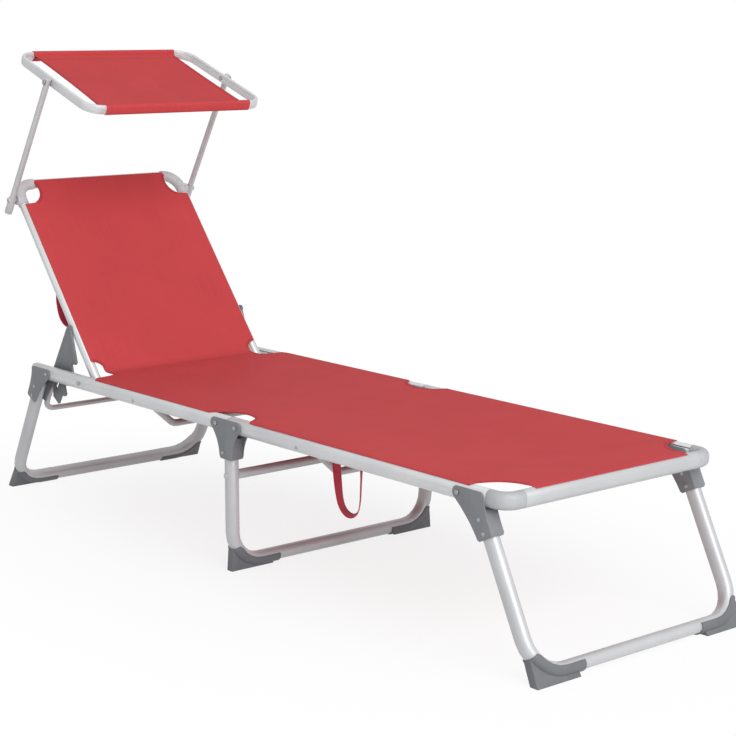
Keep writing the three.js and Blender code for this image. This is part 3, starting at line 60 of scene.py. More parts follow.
# The lengths below are in millimetres, measured from the middle leg and from the ground. A width is
# measured from the middle of the lounger, a wrap is (crown, radius), and a bite (along, across, radius).
SHIFT = sum(c.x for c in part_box("middle_leg_tube")) / 2 / MM
RAIL_Z = 306
RAIL_Y = 262.5
SHEET_RISE = 17.4
RAIL_WRAP = (262.5, 13.4)
SLING_WIDE = 270
CREASE_WIDE = 204
SEAT_HEAD_X = -535
HINGE_WIDE = 227
HINGE_REACH = 75
FOOT_BITE = (786, 262.5, 66)
FOOT_BITE_START = 720.6
FOOT_BAR_X = 800
FOOT_END = 807
FABRIC_THICKNESS = 1.2
LEAST_ROW = 0.8

# The backrest, along its own length from its pivot.
BACKREST_X = -575
BACKREST_ANGLE = 50.7
BACKREST_RISE = 11.9
BACKREST_WRAP = (226, 11.9)
BACKREST_WIDE = 229
BACKREST_LENGTH = 543
BACKREST_TOP = 546
BACK_BITE = (518, 216, 38)
BACK_BITE_START = 482.3
BACK_BITE_END = 536
CREASE_ALONG = 40
CREASE_ROUND = 22

# The hollow of the mesh, and the runs over which it begins and ends.
MESH_SAG = 6.5
BACKREST_SAG = 7.0
HINGE_SAG = 0.7
SAG_RUN = 120
FOOT_SAG_END = FOOT_BAR_X - 10
FOOT_SAG_RUN = 190
BACK_SAG_START = 60
BACK_SAG_END = BACKREST_LENGTH - 8
BACK_SAG_RUN = 160

# The sunshade: its rods, ring frame, sleeves and panel.
ROD_ALONG = 502
ROD_ANGLE = 32
ROD_REACH = 328
CANOPY_SLOPE = 19.7
CANOPY_BACK = -164
CANOPY_FRONT = 170
CANOPY_TUBE_HALF = (4.5, 10.5)
SLEEVE_SLACK = 1.2
SLEEVE_HALF = (CANOPY_TUBE_HALF[0] + SLEEVE_SLACK, CANOPY_TUBE_HALF[1] + SLEEVE_SLACK)
SLEEVE_RUN = 17.0
SLEEVE_SEAMS = (1.5, 4.5)
SEAM_TAIL = 7
SEAM_DROP = 1.3
SLEEVE_STEPS = 6
SHADE_SAG = 4.0
SHADE_SAG_START = 20
SHADE_SAG_RUN = 90
SHADE_ACROSS = 28
SHADE_ROWS = 26
SHADE_THICKNESS = 1.0
SHADE_HEM = (7.0, 1.8, 0.8)
SHADE_HEM_SEAM = 4.6
SHADE_HEM_PACE = 8.0
SHADE_STITCH = 3.0
SHADE_BACK_WIDE = 190.5
SHADE_FRONT_WIDE = 193.5
SHADE_RISE_BACK = 1.5
SHADE_RISE_FRONT = -3.0
SLEEVE_WIDE = 195

# The legs, straps and fasteners. The back strap is (middle along the backrest, half length, drop).
FOOT_LEG_X = 694
HEAD_LEG_X = -714
FOOT_LEG_LEAN = 26.5
HEAD_LEG_LEAN = 28
LEG_OFFSET = 33.2
STRAP_SET_BACK = -32
STRAP_SET_OUT = -1
STRAP_WIDTH = 26.0
STRAP_THICKNESS = 1.5
STRAP_ROWS = 72
STRAP_SEAM = 2.5
FOOT_STRAP_HALF = 39
FOOT_STRAP_TAB = 27
BACK_STRAP = (212, 48, 64)
KNUCKLE_END = 262.2
# The next three place each rod holder's mouth and shape a grey disc inside it, painted shade for the dark
# hollow.
MOUTH_ACROSS = 10.5
MOUTH_ALONG = -26.5
MOUTH_SHADE_DISC = ((0.0, 6.6), (0.8, 6.6), (0.8, 0.2))
RAIL_HALF_WIDTH = 12.5
PLATE_FACE = 16.2
RIVET_HEAD = (3.2, 1.8)
KNUCKLE_HEAD = (3.0, 1.4)

# Cloth: the pitch of the weave and the ribs, the hems, and the stitches. A stitch's shape is (share of its
# length, share of its radius, height above the cloth), and the strap's stitch (pitch, length, radius).
MESH_PITCH = 1.7
RIB_PITCH = 2.2
YARN_PITCH = 1.1
HEM_WIDTH = 8.0
HEM_THICKNESS = 1.9
HEM_CORNER = 0.9
HEM_LIP = 0.8
HEM_SEAM = 5.0
STITCH_PITCH = 4.2
STITCH_LENGTH = 2.9
STITCH_SHAPE = ((0.0, 0.35, -0.1), (0.2, 0.9, 0.12), (0.8, 0.9, 0.12), (1.0, 0.35, -0.1))
THREAD_RADIUS = 0.42
THREAD_SIDES = 6
STRAP_STITCH = (3.6, 2.5, 0.36)

# Edges: the weld's reach, and in degrees what is shaded sharp, bevelled, and sharp on a sheet.
WELD_DISTANCE = 0.01
SHADE_ANGLE = 34
BEVEL_ANGLE = 40
SHEET_SHARP_ANGLE = 50

SIDES = (-1, 1)


# Places

class Place:
    """A body's own axes at rest: x along it, z out of it, turned about the Y axis."""

    def __init__(self, x, z, degrees):
        turn = math.radians(degrees)
        self.origin = np.array([x, 0.0, z])
        self.along = np.array([math.cos(turn), 0.0, -math.sin(turn)])
        self.out = np.array([math.sin(turn), 0.0, math.cos(turn)])

    def at(self, x, y, z):
        return self.origin + self.along * x + self.out * z + np.array([0.0, y, 0.0])


SEAT = Place(0, RAIL_Z, 0)
BACKREST = Place(BACKREST_X, RAIL_Z, BACKREST_ANGLE)
_arms = BACKREST.at(-ROD_ALONG, 0, 0)
ARMS = Place(_arms[0], _arms[2], ROD_ANGLE)
_canopy = ARMS.at(0, 0, ROD_REACH)
CANOPY = Place(_canopy[0], _canopy[2], CANOPY_SLOPE)
FOOT_LEG = Place(FOOT_LEG_X, RAIL_Z, -FOOT_LEG_LEAN)
HEAD_LEG = Place(HEAD_LEG_X, RAIL_Z, HEAD_LEG_LEAN)


def metres(points):
    """Design millimetres to the row frame's metres."""
    points = np.asarray(points, float)
    return (points + np.array([SHIFT, 0.0, 0.0])) * MM


# Meshes

def make_object(name, vertices, faces, material, uvs=None, smooth=True):
    """An object from millimetre points; uvs are one pair for each vertex."""
    mesh = bpy.data.meshes.new(name)
    mesh.from_pydata([tuple(p) for p in metres(vertices)], [], [tuple(f) for f in faces])
    mesh.validate()
    mesh.polygons.foreach_set("use_smooth", [smooth] * len(mesh.polygons))
    if uvs is not None:
        layer = mesh.uv_layers.new(name="flat")
        corner = np.zeros(len(mesh.loops), int)
        mesh.loops.foreach_get("vertex_index", corner)
        layer.data.foreach_set("uv", (np.asarray(uvs, float)[corner] * MM).ravel())
    mesh.update()
    made = bpy.data.objects.new(name, mesh)
    bpy.context.scene.collection.objects.link(made)
    made.data.materials.append(material)
    return made


class Parts:
    """Several closed shapes gathered into one object."""

    def __init__(self):
        self.vertices = []
        self.faces = []
        self.uvs = []

    def add(self, vertices, faces, uvs=None):
        start = len(self.vertices)
        self.vertices.extend(np.asarray(vertices, float).tolist())
        self.faces.extend([[start + i for i in face] for face in faces])
        self.uvs.extend((np.zeros((len(vertices), 2)) if uvs is None else np.asarray(uvs)).tolist())

    def build(self, name, material, smooth=True):
        return make_object(name, self.vertices, self.faces, material, self.uvs, smooth)


def swept(rings):
    """Joins rings of points, one ring for each place on a path, and caps both ends."""
    count = len(rings[0])
    vertices = np.concatenate(rings)
    faces = []
    for r in range(len(rings) - 1):
        here, there = r * count, (r + 1) * count
        for k in range(count):
            n = (k + 1) % count
            faces.append((here + k, here + n, there + n, there + k))
    faces.append(tuple(reversed(range(count))))
    faces.append(tuple((len(rings) - 1) * count + k for k in range(count)))
    return vertices, faces


def tangents_of(path):
    """Unit tangents of a path."""
    path = np.asarray(path, float)
    tangent = np.gradient(path, axis=0)
    return tangent / np.linalg.norm(tangent, axis=1)[:, None]


def distances(path):
    """How far along a path each of its points is."""
    return np.concatenate([[0], np.cumsum(np.linalg.norm(np.diff(path, axis=0), axis=1))])


def band_uvs(section, along):
    """Flat coordinates for a band: across its section, and along its path."""
    return np.stack([np.tile([a for a, _ in section], len(along)), np.repeat(along, len(section))], 1)


def band(path, side, normal, section):
    """A constant section drawn along a path: section points go along side and normal."""
    rings = [p + s * np.array([[a] for a, _ in section]) + n * np.array([[b] for _, b in section])
             for p, s, n in zip(path, side, normal)]
    return swept(rings)


def rounded_section(width, height, radius, centre=(0.0, 0.0), steps=3):
    """A rectangle with round corners, as points."""
    points = []
    for cx, cy, start in ((1, 1, 0), (-1, 1, 90), (-1, -1, 180), (1, -1, 270)):
        for k in range(steps + 1):
            turn = math.radians(start + 90 * k / steps)
            points.append((centre[0] + cx * (width / 2 - radius) + radius * math.cos(turn),
                           centre[1] + cy * (height / 2 - radius) + radius * math.sin(turn)))
    return points


def turned(profile, origin, axis, sides=28):
    """A profile of (distance along the axis, radius) turned about the axis."""
    axis = np.asarray(axis, float) / np.linalg.norm(axis)
    spare = np.array([0.0, 0.0, 1.0]) if abs(axis[2]) < 0.9 else np.array([1.0, 0.0, 0.0])
    u = np.cross(axis, spare)
    u /= np.linalg.norm(u)
    v = np.cross(axis, u)
    rings = []
    for distance, radius in profile:
        turns = 2 * math.pi * np.arange(sides) / sides
        ring = (np.asarray(origin, float) + axis * distance
                + radius * (np.cos(turns)[:, None] * u + np.sin(turns)[:, None] * v))
        rings.append(ring)
    return swept(rings)


def dome_profile(radius, height, base=0.0, steps=5):
    """A button head that starts at the distance base."""
    points = [(base, radius), (base + height * 0.35, radius)]
    for k in range(1, steps + 1):
        turn = math.pi / 2 * k / steps
        points.append((base + height * (0.35 + 0.65 * math.sin(turn)), max(radius * math.cos(turn), 0.15)))
    return points


def quadratic(first, control, last, count=12):
    """A curve from first to last that leans towards control."""
    share = np.linspace(0, 1, count)[:, None]
    first, control, last = (np.asarray(p, float) for p in (first, control, last))
    return (1 - share) ** 2 * first + 2 * share * (1 - share) * control + share ** 2 * last


# Materials

def linear(red, green, blue):
    """A colour given in display values 0-255, as a linear RGBA."""
    def one(value):
        value /= 255
        return value / 12.92 if value <= 0.04045 else ((value + 0.055) / 1.055) ** 2.4
    return (one(red), one(green), one(blue), 1.0)


class Graph:
    """A small wrapper round a material's nodes."""

    def __init__(self, name):
        self.material = bpy.data.materials.new(name)
        self.material.use_nodes = True
        self.nodes = self.material.node_tree.nodes
        self.links = self.material.node_tree.links
        self.shader = self.nodes["Principled BSDF"]

    def node(self, kind, **settings):
        made = self.nodes.new(kind)
        for key, value in settings.items():
            if key in made.inputs:
                made.inputs[key].default_value = value
            else:
                setattr(made, key, value)
        return made

    def link(self, source, target):
        self.links.new(source, target)

    def math(self, operation, *values):
        """A math node's output. Each value is a number or a socket."""
        made = self.node("ShaderNodeMath", operation=operation)
        for index, value in enumerate(values):
            if isinstance(value, (int, float)):
                made.inputs[index].default_value = value
            else:
                self.link(value, made.inputs[index])
        return made.outputs[0]

    def coordinates(self, output, scale=(1, 1, 1)):
        source = self.node("ShaderNodeTexCoord").outputs[output]
        mapping = self.node("ShaderNodeMapping")
        mapping.inputs["Scale"].default_value = scale
        self.link(source, mapping.inputs["Vector"])
        return mapping.outputs["Vector"]

    def flat(self):
        """A sheet's flat coordinates: the pair, and its parts across and along."""
        pair = self.node("ShaderNodeTexCoord").outputs["UV"]
        split = self.node("ShaderNodeSeparateXYZ")
        self.link(pair, split.inputs[0])
        return pair, split.outputs[0], split.outputs[1]

    def noise(self, vector, scale, detail, roughness):
        made = self.node("ShaderNodeTexNoise", Scale=scale, Detail=detail, Roughness=roughness)
        self.link(vector, made.inputs["Vector"])
        return made.outputs["Fac"]

    def ramp(self, factor, stops):
        made = self.node("ShaderNodeValToRGB")
        elements = made.color_ramp.elements
        while len(elements) < len(stops):
            elements.new(0.5)
        for element, (position, colour) in zip(elements, stops):
            element.position = position
            element.color = colour
        self.link(factor, made.inputs["Fac"])
        return made.outputs["Color"]

    def span(self, factor, low, high):
        made = self.node("ShaderNodeMapRange")
        made.inputs["To Min"].default_value = low
        made.inputs["To Max"].default_value = high
        self.link(factor, made.inputs["Value"])
        return made.outputs["Result"]

    def bump(self, height, strength, distance):
        made = self.node("ShaderNodeBump", Strength=strength, Distance=distance)
        self.link(height, made.inputs["Height"])
        return made.outputs["Normal"]

    def feed(self, label, value):
        """Sets an input of the surface shader, or links a socket to it."""
        if isinstance(value, bpy.types.NodeSocket):
            self.link(value, self.shader.inputs[label])
        else:
            self.shader.inputs[label].default_value = value


def tones(colour, dark, light):
    """A darker and a lighter tone of a colour."""
    return [tuple(min(c * share, 1.0) for c in colour[:3]) + (1.0,) for share in (dark, light)]


def metal(name, colour, roughness, metallic, grain, grain_scale, bump):
    """Anodised or painted aluminium: a fine grain in the finish, cloudy gloss, small scuffs."""
    g = Graph(name)
    grain_noise = g.noise(g.coordinates("Object", grain), grain_scale, 4.0, 0.6)
    cloud = g.noise(g.coordinates("Object"), 9.0, 3.0, 0.5)
    scuff = g.noise(g.coordinates("Object"), 120.0, 6.0, 0.65)
    dark, light = tones(colour, 0.93, 1.05)
    gloss = g.span(grain_noise, roughness - 0.05, roughness + 0.06)
    g.feed("Base Color", g.ramp(cloud, [(0.3, dark), (0.7, light)]))
    g.feed("Metallic", metallic)
    g.feed("Roughness", g.math("ADD", gloss, g.span(scuff, -0.03, 0.04)))
    g.feed("Normal", g.bump(grain_noise, bump, 0.0002))
    return g.material


def moulded(name, colour, roughness, grain=1400.0, bump=0.25):
    """Moulded plastic with a spark-eroded grain and faint flow marks."""
    g = Graph(name)
    grain_noise = g.noise(g.coordinates("Object"), grain, 2.0, 0.6)
    flow = g.noise(g.coordinates("Object", (1.0, 1.0, 0.35)), 26.0, 4.0, 0.6)
    dark, light = tones(colour, 0.86, 1.12)
    g.feed("Base Color", g.ramp(flow, [(0.28, dark), (0.74, light)]))
    g.feed("Roughness", g.span(grain_noise, roughness - 0.07, roughness + 0.09))
    g.feed("Normal", g.bump(grain_noise, bump, 0.00012))
    return g.material


def mesh_cloth(name, colour):
    """Coated polyester mesh: round warp and weft yarns in a plain weave, on the sheet's flat coordinates."""
    g = Graph(name)
    flat, wide, long = g.flat()
    turns = 2 * math.pi / (MESH_PITCH * MM)
    across = g.math("SINE", g.math("MULTIPLY", wide, turns))
    along = g.math("SINE", g.math("MULTIPLY", long, turns))
    weave = g.math("MULTIPLY", across, along)
    yarn = g.math("MAXIMUM", g.math("ABSOLUTE", across), g.math("ABSOLUTE", along))
    height = g.math("ADD", g.math("MULTIPLY", weave, 0.5), yarn)
    cloud = g.noise(flat, 7.0, 4.0, 0.55)
    streak = g.noise(g.coordinates("UV", (380.0, 6.0, 1.0)), 1.0, 2.0, 0.5)
    tone = g.math("ADD", g.span(cloud, -0.11, 0.11), g.span(streak, -0.07, 0.07))
    tone = g.math("ADD", tone, g.span(weave, -0.10, 0.10))
    factor = g.math("ADD", tone, 0.5)
    dark, light = tones(colour, 0.74, 1.26)
    g.feed("Base Color", g.ramp(factor, [(0.2, dark), (0.5, colour), (0.8, light)]))
    g.feed("Roughness", g.span(yarn, 0.86, 0.68))
    g.feed("Specular IOR Level", 0.08)
    g.feed("Normal", g.bump(height, 0.35, 0.00022))
    return g.material


def webbing(name, colour):
    """Ribbed polypropylene webbing: cross ribs with a herringbone offset down the middle."""
    g = Graph(name)
    flat, wide, long = g.flat()
    slant = g.math("ABSOLUTE", wide)
    place = g.math("ADD", long, g.math("MULTIPLY", slant, 0.5))
    ribs = g.math("SINE", g.math("MULTIPLY", place, 2 * math.pi / (RIB_PITCH * MM)))
    yarns = g.math("SINE", g.math("MULTIPLY", wide, 2 * math.pi / (YARN_PITCH * MM)))
    height = g.math("ADD", ribs, g.math("MULTIPLY", yarns, 0.4))
    fuzz = g.noise(flat, 900.0, 3.0, 0.6)
    tone = g.math("ADD", g.span(ribs, 0.34, 0.62), g.span(fuzz, -0.12, 0.12))
    dark, light = tones(colour, 0.62, 1.3)
    g.feed("Base Color", g.ramp(tone, [(0.15, dark), (0.5, colour), (0.9, light)]))
    g.feed("Roughness", g.span(fuzz, 0.62, 0.82))
    g.feed("Sheen Weight", 0.25)
    g.feed("Sheen Roughness", 0.4)
    g.feed("Normal", g.bump(height, 0.5, 0.0003))
    return g.material


RED = linear(196, 72, 75)
CRIMSON = linear(206, 50, 78)
LOOKS = {
    "rail": metal("rail_anodised", linear(206, 207, 209), 0.36, 0.25, (4, 150, 150), 10.0, 0.06),
    "leg": metal("leg_silver_paint", linear(187, 188, 190), 0.4, 0.25, (90, 90, 90), 12.0, 0.08),
    "plastic": moulded("bracket_plastic", linear(120, 122, 126), 0.5),
    "shoe": moulded("shoe_plastic", linear(103, 105, 109), 0.55),
    "elbow": moulded("elbow_plastic", linear(168, 169, 172), 0.46),
    "sleeve": moulded("sleeve_plastic", linear(194, 195, 197), 0.46),
    "rack": moulded("rack_plastic", linear(116, 118, 122), 0.5),
    "cap": moulded("cap_plastic", linear(120, 122, 126), 0.55),
    "pin": metal("pin_steel", linear(158, 160, 164), 0.3, 0.8, (80, 80, 80), 14.0, 0.04),
    "screw": metal("screw_zinc", linear(150, 152, 156), 0.34, 0.8, (80, 80, 80), 14.0, 0.04),
    "sling": mesh_cloth("mesh_red", RED),
    "hem": mesh_cloth("mesh_hem", linear(184, 64, 69)),
    "thread": moulded("thread_red", linear(176, 58, 64), 0.7, 2500.0, 0.1),
    "strap": webbing("webbing_crimson", CRIMSON),
    "strap_thread": moulded("thread_crimson", linear(168, 36, 58), 0.7, 2500.0, 0.1),
}


def smooth_edges_group():
    """Geometry nodes: drop the flat normals that come with the CAD, then shade by angle."""
    group = bpy.data.node_groups.new("shade_by_angle", "GeometryNodeTree")
    group.interface.new_socket("Geometry", in_out="INPUT", socket_type="NodeSocketGeometry")
    group.interface.new_socket("Geometry", in_out="OUTPUT", socket_type="NodeSocketGeometry")
    nodes, links = group.nodes, group.links
    start = nodes.new("NodeGroupInput")
    end = nodes.new("NodeGroupOutput")
    drop = nodes.new("GeometryNodeRemoveAttribute")
    drop.inputs["Name"].default_value = "custom_normal"
    shading = []
    for domain, smooth in (("FACE", True), ("EDGE", True), ("EDGE", False)):
        made = nodes.new("GeometryNodeSetShadeSmooth")
        made.domain = domain
        made.inputs["Shade Smooth"].default_value = smooth
        shading.append(made)
    chain = [start, drop, *shading, end]
    for one, following in zip(chain, chain[1:]):
        links.new(one.outputs[0], following.inputs[0])
    angle = nodes.new("GeometryNodeInputMeshEdgeAngle")
    compare = nodes.new("FunctionNodeCompare")
    compare.data_type = "FLOAT"
    compare.operation = "GREATER_THAN"
    compare.inputs[1].default_value = math.radians(SHADE_ANGLE)
    links.new(angle.outputs["Unsigned Angle"], compare.inputs[0])
    links.new(compare.outputs["Result"], shading[-1].inputs["Selection"])
    return group


SHADE = smooth_edges_group()
# Each CAD node gets the look and bevel of the first row whose name it begins with.
NODE_LOOKS = (
    ("seat_rail_cap", "cap", 0.25), ("seat_rail", "rail", 0.3), ("foot_rail", "rail", 0.3),
    ("rack_stud", "pin", 0.3), ("foot_end_bar", "leg", 0.3), ("foot_elbow", "elbow", 0.3),
    ("seat_cross_tube", "leg", 0), ("foot_cross_tube", "leg", 0), ("middle_leg_tube", "leg", 0.3),
    ("middle_crossbar", "leg", 0), ("middle_bracket", "plastic", 0.7), ("middle_foot", "shoe", 0.8),
    ("middle_pin", "pin", 0.6), ("foot_leg_tube", "leg", 0), ("head_leg_tube", "leg", 0),
    ("foot_leg_bracket", "plastic", 0.7), ("head_leg_bracket", "plastic", 0.7),
    ("foot_leg_foot", "shoe", 0.8), ("head_leg_foot", "shoe", 0.8), ("foot_leg_pin", "pin", 0.6),
    ("head_leg_pin", "pin", 0.6), ("backrest_frame", "rail", 0.2), ("backrest_sleeve", "sleeve", 0.3),
    ("backrest_pin", "pin", 0.5), ("support_bar", "leg", 0.4), ("support_rack", "rack", 0.4),
    ("canopy_rod", "leg", 0.4), ("canopy_frame", "rail", 0), ("canopy_screw", "screw", 0.6),
)


def dress_cad_nodes():
    for name, node in NODES.items():
        for prefix, look, bevel in NODE_LOOKS:
            if not name.startswith(prefix):
                continue
            node.data.materials.clear()
            node.data.materials.append(LOOKS[look])
            weld = node.modifiers.new("weld", "WELD")
            weld.merge_threshold = WELD_DISTANCE * MM
            if bevel:
                round_off = node.modifiers.new("edges", "BEVEL")
                round_off.width = bevel * MM
                round_off.segments = 2
                round_off.limit_method = "ANGLE"
                round_off.angle_limit = math.radians(BEVEL_ANGLE)
                round_off.use_clamp_overlap = True
            shade = node.modifiers.new("shade", "NODES")
            shade.node_group = SHADE
            break


dress_cad_nodes()


# Mesh slings

def thicken(made, thickness):
    """Gives a sheet its thickness, with its cut edges kept crisp."""
    shell = made.modifiers.new("thickness", "SOLIDIFY")
    shell.thickness = thickness * MM
    shell.offset = 0
    bpy.context.view_layer.objects.active = made
    made.select_set(True)
    bpy.ops.object.modifier_apply(modifier=shell.name)
    made.select_set(False)
    made.data.polygons.foreach_set("use_smooth", [True] * len(made.data.polygons))
    made.data.set_sharp_from_angle(angle=math.radians(SHEET_SHARP_ANGLE))


class Sling:
    """A taut sheet: a line from one end to the other, and a half width at each place on it."""

    def __init__(self, line, edge, sag, wrap):
        self.line = line
        self.edge = np.asarray(edge, float)
        self.sag = sag
        self.crown, self.radius = wrap

    def width(self, place):
        return float(np.interp(place, self.edge[:, 0], self.edge[:, 1]))

    def point(self, place, y):
        """Taut between the side tubes, whose crowns it follows past their middle."""
        base, normal = self.line(place)
        past = max(abs(y) - self.crown, 0.0) / self.radius
        hollow = self.sag(place) * max(1 - (y / self.crown) ** 2, 0.0) ** 1.5
        dip = hollow + self.radius * (1 - math.cos(past))
        reach = min(abs(y), self.crown) + self.radius * math.sin(past)
        return base + np.array([0.0, math.copysign(reach, y), 0.0]) - normal * dip

    def stations(self, step):
        low, high = self.edge[0, 0], self.edge[-1, 0]
        even = np.linspace(low, high, max(int((high - low) / step), 2) + 1)
        places = np.unique(np.round(np.concatenate([even, self.edge[:, 0]]), 3))
        keep = [places[0]]
        for place in places[1:]:
            if place - keep[-1] > LEAST_ROW:
                keep.append(place)
        keep[-1] = places[-1]
        return np.array(keep)

    def build(self, name, step=12.0, across=44):
        stations = self.stations(step)
        shares = np.sin(np.linspace(-math.pi / 2, math.pi / 2, across + 1))
        vertices, uvs, faces = [], [], []
        for place in stations:
            half = self.width(place)
            for share in shares:
                vertices.append(self.point(place, share * half))
                uvs.append((share * half, place))
        columns = across + 1
        for r in range(len(stations) - 1):
            for c in range(across):
                a = r * columns + c
                faces.append((a, a + columns, a + columns + 1, a + 1))
        made = make_object(name, vertices, faces, LOOKS["sling"], uvs)
        area = sum(p.area for p in made.data.polygons)
        thicken(made, FABRIC_THICKNESS)
        length = float(stations[-1] - stations[0]) * MM
        return made, (2 * float(self.edge[:, 1].max()) * MM, length), area

    def edge_frames(self, first, last, side, step=4.0):
        """Points on one edge, with directions into the sheet and out of its face."""
        dense = np.linspace(first, last, max(int(abs(last - first) / step), 6) + 1)
        extra = self.edge[(self.edge[:, 0] > first) & (self.edge[:, 0] < last), 0]
        places = np.unique(np.concatenate([dense, extra]))
        points = np.array([self.point(p, side * self.width(p)) for p in places])
        normals = np.array([self.line(p)[1] for p in places])
        tangent = tangents_of(points)
        inward = np.cross(normals, tangent)
        inward *= np.sign(-side * inward[:, 1:2] + 1e-9)
        return points, inward, normals


def over_bar(place, bar, radius):
    """How far along and how far down a sheet is that follows the crown of an end bar."""
    past = max(place - bar, 0.0) / radius
    return min(place, bar) + radius * math.sin(past), radius * (1 - math.cos(past)), past


def seat_line(place):
    x, down, past = over_bar(place, FOOT_BAR_X, RAIL_WRAP[1])
    return np.array([x, 0.0, RAIL_Z + SHEET_RISE - down]), np.array([math.sin(past), 0.0, math.cos(past)])


# The two sheets' planes meet at _meet, and the crease rounds that corner: a flat part, then an arc.
_turn = math.radians(BACKREST_ANGLE)
_meet_along = (SHEET_RISE - BACKREST_RISE * math.cos(_turn)) / math.sin(_turn)
_meet = BACKREST.at(-_meet_along, 0, BACKREST_RISE)
_tangent = CREASE_ROUND * math.tan(_turn / 2)
_flat_part = SEAT_HEAD_X - _meet[0] - _tangent
_arc_part = CREASE_ROUND * _turn
BACK_OFFSET = _flat_part + _arc_part - (_meet_along + _tangent)


def back_line(place):
    """From the seat's head end, round the crease and up the backrest."""
    if place <= _flat_part:
        return np.array([SEAT_HEAD_X - place, 0.0, RAIL_Z + SHEET_RISE]), np.array([0.0, 0.0, 1.0])
    if place < _flat_part + _arc_part:
        turn = (place - _flat_part) / CREASE_ROUND
        centre = np.array([SEAT_HEAD_X - _flat_part, 0.0, RAIL_Z + SHEET_RISE + CREASE_ROUND])
        inward = np.array([math.sin(turn), 0.0, math.cos(turn)])
        return centre - CREASE_ROUND * inward, inward
    along, down, past = over_bar(place - BACK_OFFSET, BACKREST_LENGTH, BACKREST_WRAP[1])
    normal = BACKREST.out * math.cos(past) - BACKREST.along * math.sin(past)
    return BACKREST.at(-along, 0, BACKREST_RISE - down), normal


def ease(share):
    """A smooth step from 0 to 1."""
    share = min(max(share, 0.0), 1.0)
    return share * share * (3 - 2 * share)


def bite(centre, first, last, count=18):
    """A round notch in an edge, as (place, half width) from one place to another."""
    x, y, radius = centre
    start, end = math.acos((x - first) / radius), math.acos((x - last) / radius)
    places = x - radius * np.cos(np.linspace(start, end, count))
    return np.stack([places, y - np.sqrt(radius ** 2 - (places - x) ** 2)], 1)


# The edges of the mesh as (place, half width), read from the photograph.
SEAT_EDGE = np.concatenate([
    quadratic((SEAT_HEAD_X, CREASE_WIDE), (SEAT_HEAD_X + 12, CREASE_WIDE + 12),
              (SEAT_HEAD_X + 16, SLING_WIDE)),
    [(-HINGE_REACH, SLING_WIDE), (-66, 268.5), (-60, 265.5), (-54.8, 261), (-49, 254.6), (-44, 248.2),
     (-38.8, 242.4), (-32, 237.2), (-22.5, 233.4), (-12, 230.2), (0, HINGE_WIDE)]])
FOOT_EDGE = np.concatenate([
    [(0, HINGE_WIDE), (12, 226), (24, 227.6), (36, 230.4), (46.5, 235), (54, 242), (61, 252), (68, 265),
     (HINGE_REACH, SLING_WIDE), (FOOT_BITE_START - 4, SLING_WIDE), (FOOT_BITE_START - 1.5, 265)],
    bite(FOOT_BITE, FOOT_BITE_START, FOOT_BITE[0]), [(FOOT_END, 196)]])
BACK_EDGE = np.concatenate([
    [(0, CREASE_WIDE), (CREASE_ALONG - 14 + BACK_OFFSET, CREASE_WIDE)],
    quadratic((CREASE_ALONG - 13 + BACK_OFFSET, CREASE_WIDE), (CREASE_ALONG + BACK_OFFSET, CREASE_WIDE + 4),
              (CREASE_ALONG + 4 + BACK_OFFSET, BACKREST_WIDE)),
    [(BACK_BITE_START - 2.3 + BACK_OFFSET, BACKREST_WIDE)],
    bite(BACK_BITE, BACK_BITE_START, BACKREST_TOP) + np.array([BACK_OFFSET, 0.0])])


def seat_sag(place):
    """The hollow of the seat part, which is shallower at the middle leg."""
    hinge = HINGE_SAG + (1 - HINGE_SAG) * ease(-place / SAG_RUN)
    return MESH_SAG * ease((place - SEAT_HEAD_X) / SAG_RUN) * hinge


def foot_sag(place):
    """The hollow of the foot part, which begins at the middle leg's depth."""
    hinge = HINGE_SAG + (1 - HINGE_SAG) * ease(place / SAG_RUN)
    return MESH_SAG * hinge * ease((FOOT_SAG_END - place) / FOOT_SAG_RUN)


def back_sag(place):
    """The hollow of the backrest."""
    start = ease((place - BACK_SAG_START) / SAG_RUN)
    return BACKREST_SAG * start * ease((BACK_SAG_END + BACK_OFFSET - place) / BACK_SAG_RUN)


SEAT_SLING = Sling(seat_line, SEAT_EDGE, seat_sag, RAIL_WRAP)
FOOT_SLING = Sling(seat_line, FOOT_EDGE, foot_sag, RAIL_WRAP)
BACK_SLING = Sling(back_line, BACK_EDGE, back_sag, BACKREST_WRAP)


def hems(name, sling, spans):
    """A folded and stitched band along each free edge of a sling."""
    parts, threads = Parts(), Parts()
    section = rounded_section(HEM_WIDTH, HEM_THICKNESS, HEM_CORNER, (HEM_WIDTH / 2 - HEM_LIP, 0.0))
    for first, last in spans:
        for side in SIDES:
            points, inward, normals = sling.edge_frames(first, last, side)
            vertices, faces = band(points, inward, normals, section)
            parts.add(vertices, faces, band_uvs(section, distances(points)))
            for face in (1, -1):
                stitch(threads, points + inward * HEM_SEAM + normals * face * HEM_THICKNESS / 2,
                       normals * face, STITCH_PITCH, STITCH_LENGTH)
    return parts.build(name, LOOKS["hem"]), threads.build(name + "_stitches", LOOKS["thread"])


def stitch(parts, path, normals, pitch, length, radius=THREAD_RADIUS):
    """A row of thread stitches that lie on a surface."""
    place = distances(path)
    middle = pitch / 2
    while middle + length / 2 < place[-1]:
        ends = [np.array([np.interp(p, place, path[:, k]) for k in range(3)])
                for p in (middle - length / 2, middle + length / 2)]
        normal = np.array([np.interp(middle, place, normals[:, k]) for k in range(3)])
        normal /= np.linalg.norm(normal)
        along = ends[1] - ends[0]
        side = np.cross(normal, along)
        side /= np.linalg.norm(side)
        rings = []
        for share, size, height in STITCH_SHAPE:
            centre = ends[0] + along * share + normal * height
            turns = np.linspace(0, 2 * math.pi, THREAD_SIDES, endpoint=False)
            rings.append(np.array([centre + (side * math.cos(t) + normal * math.sin(t)) * radius * size
                                   for t in turns]))
        parts.add(*swept(rings))
        middle += pitch


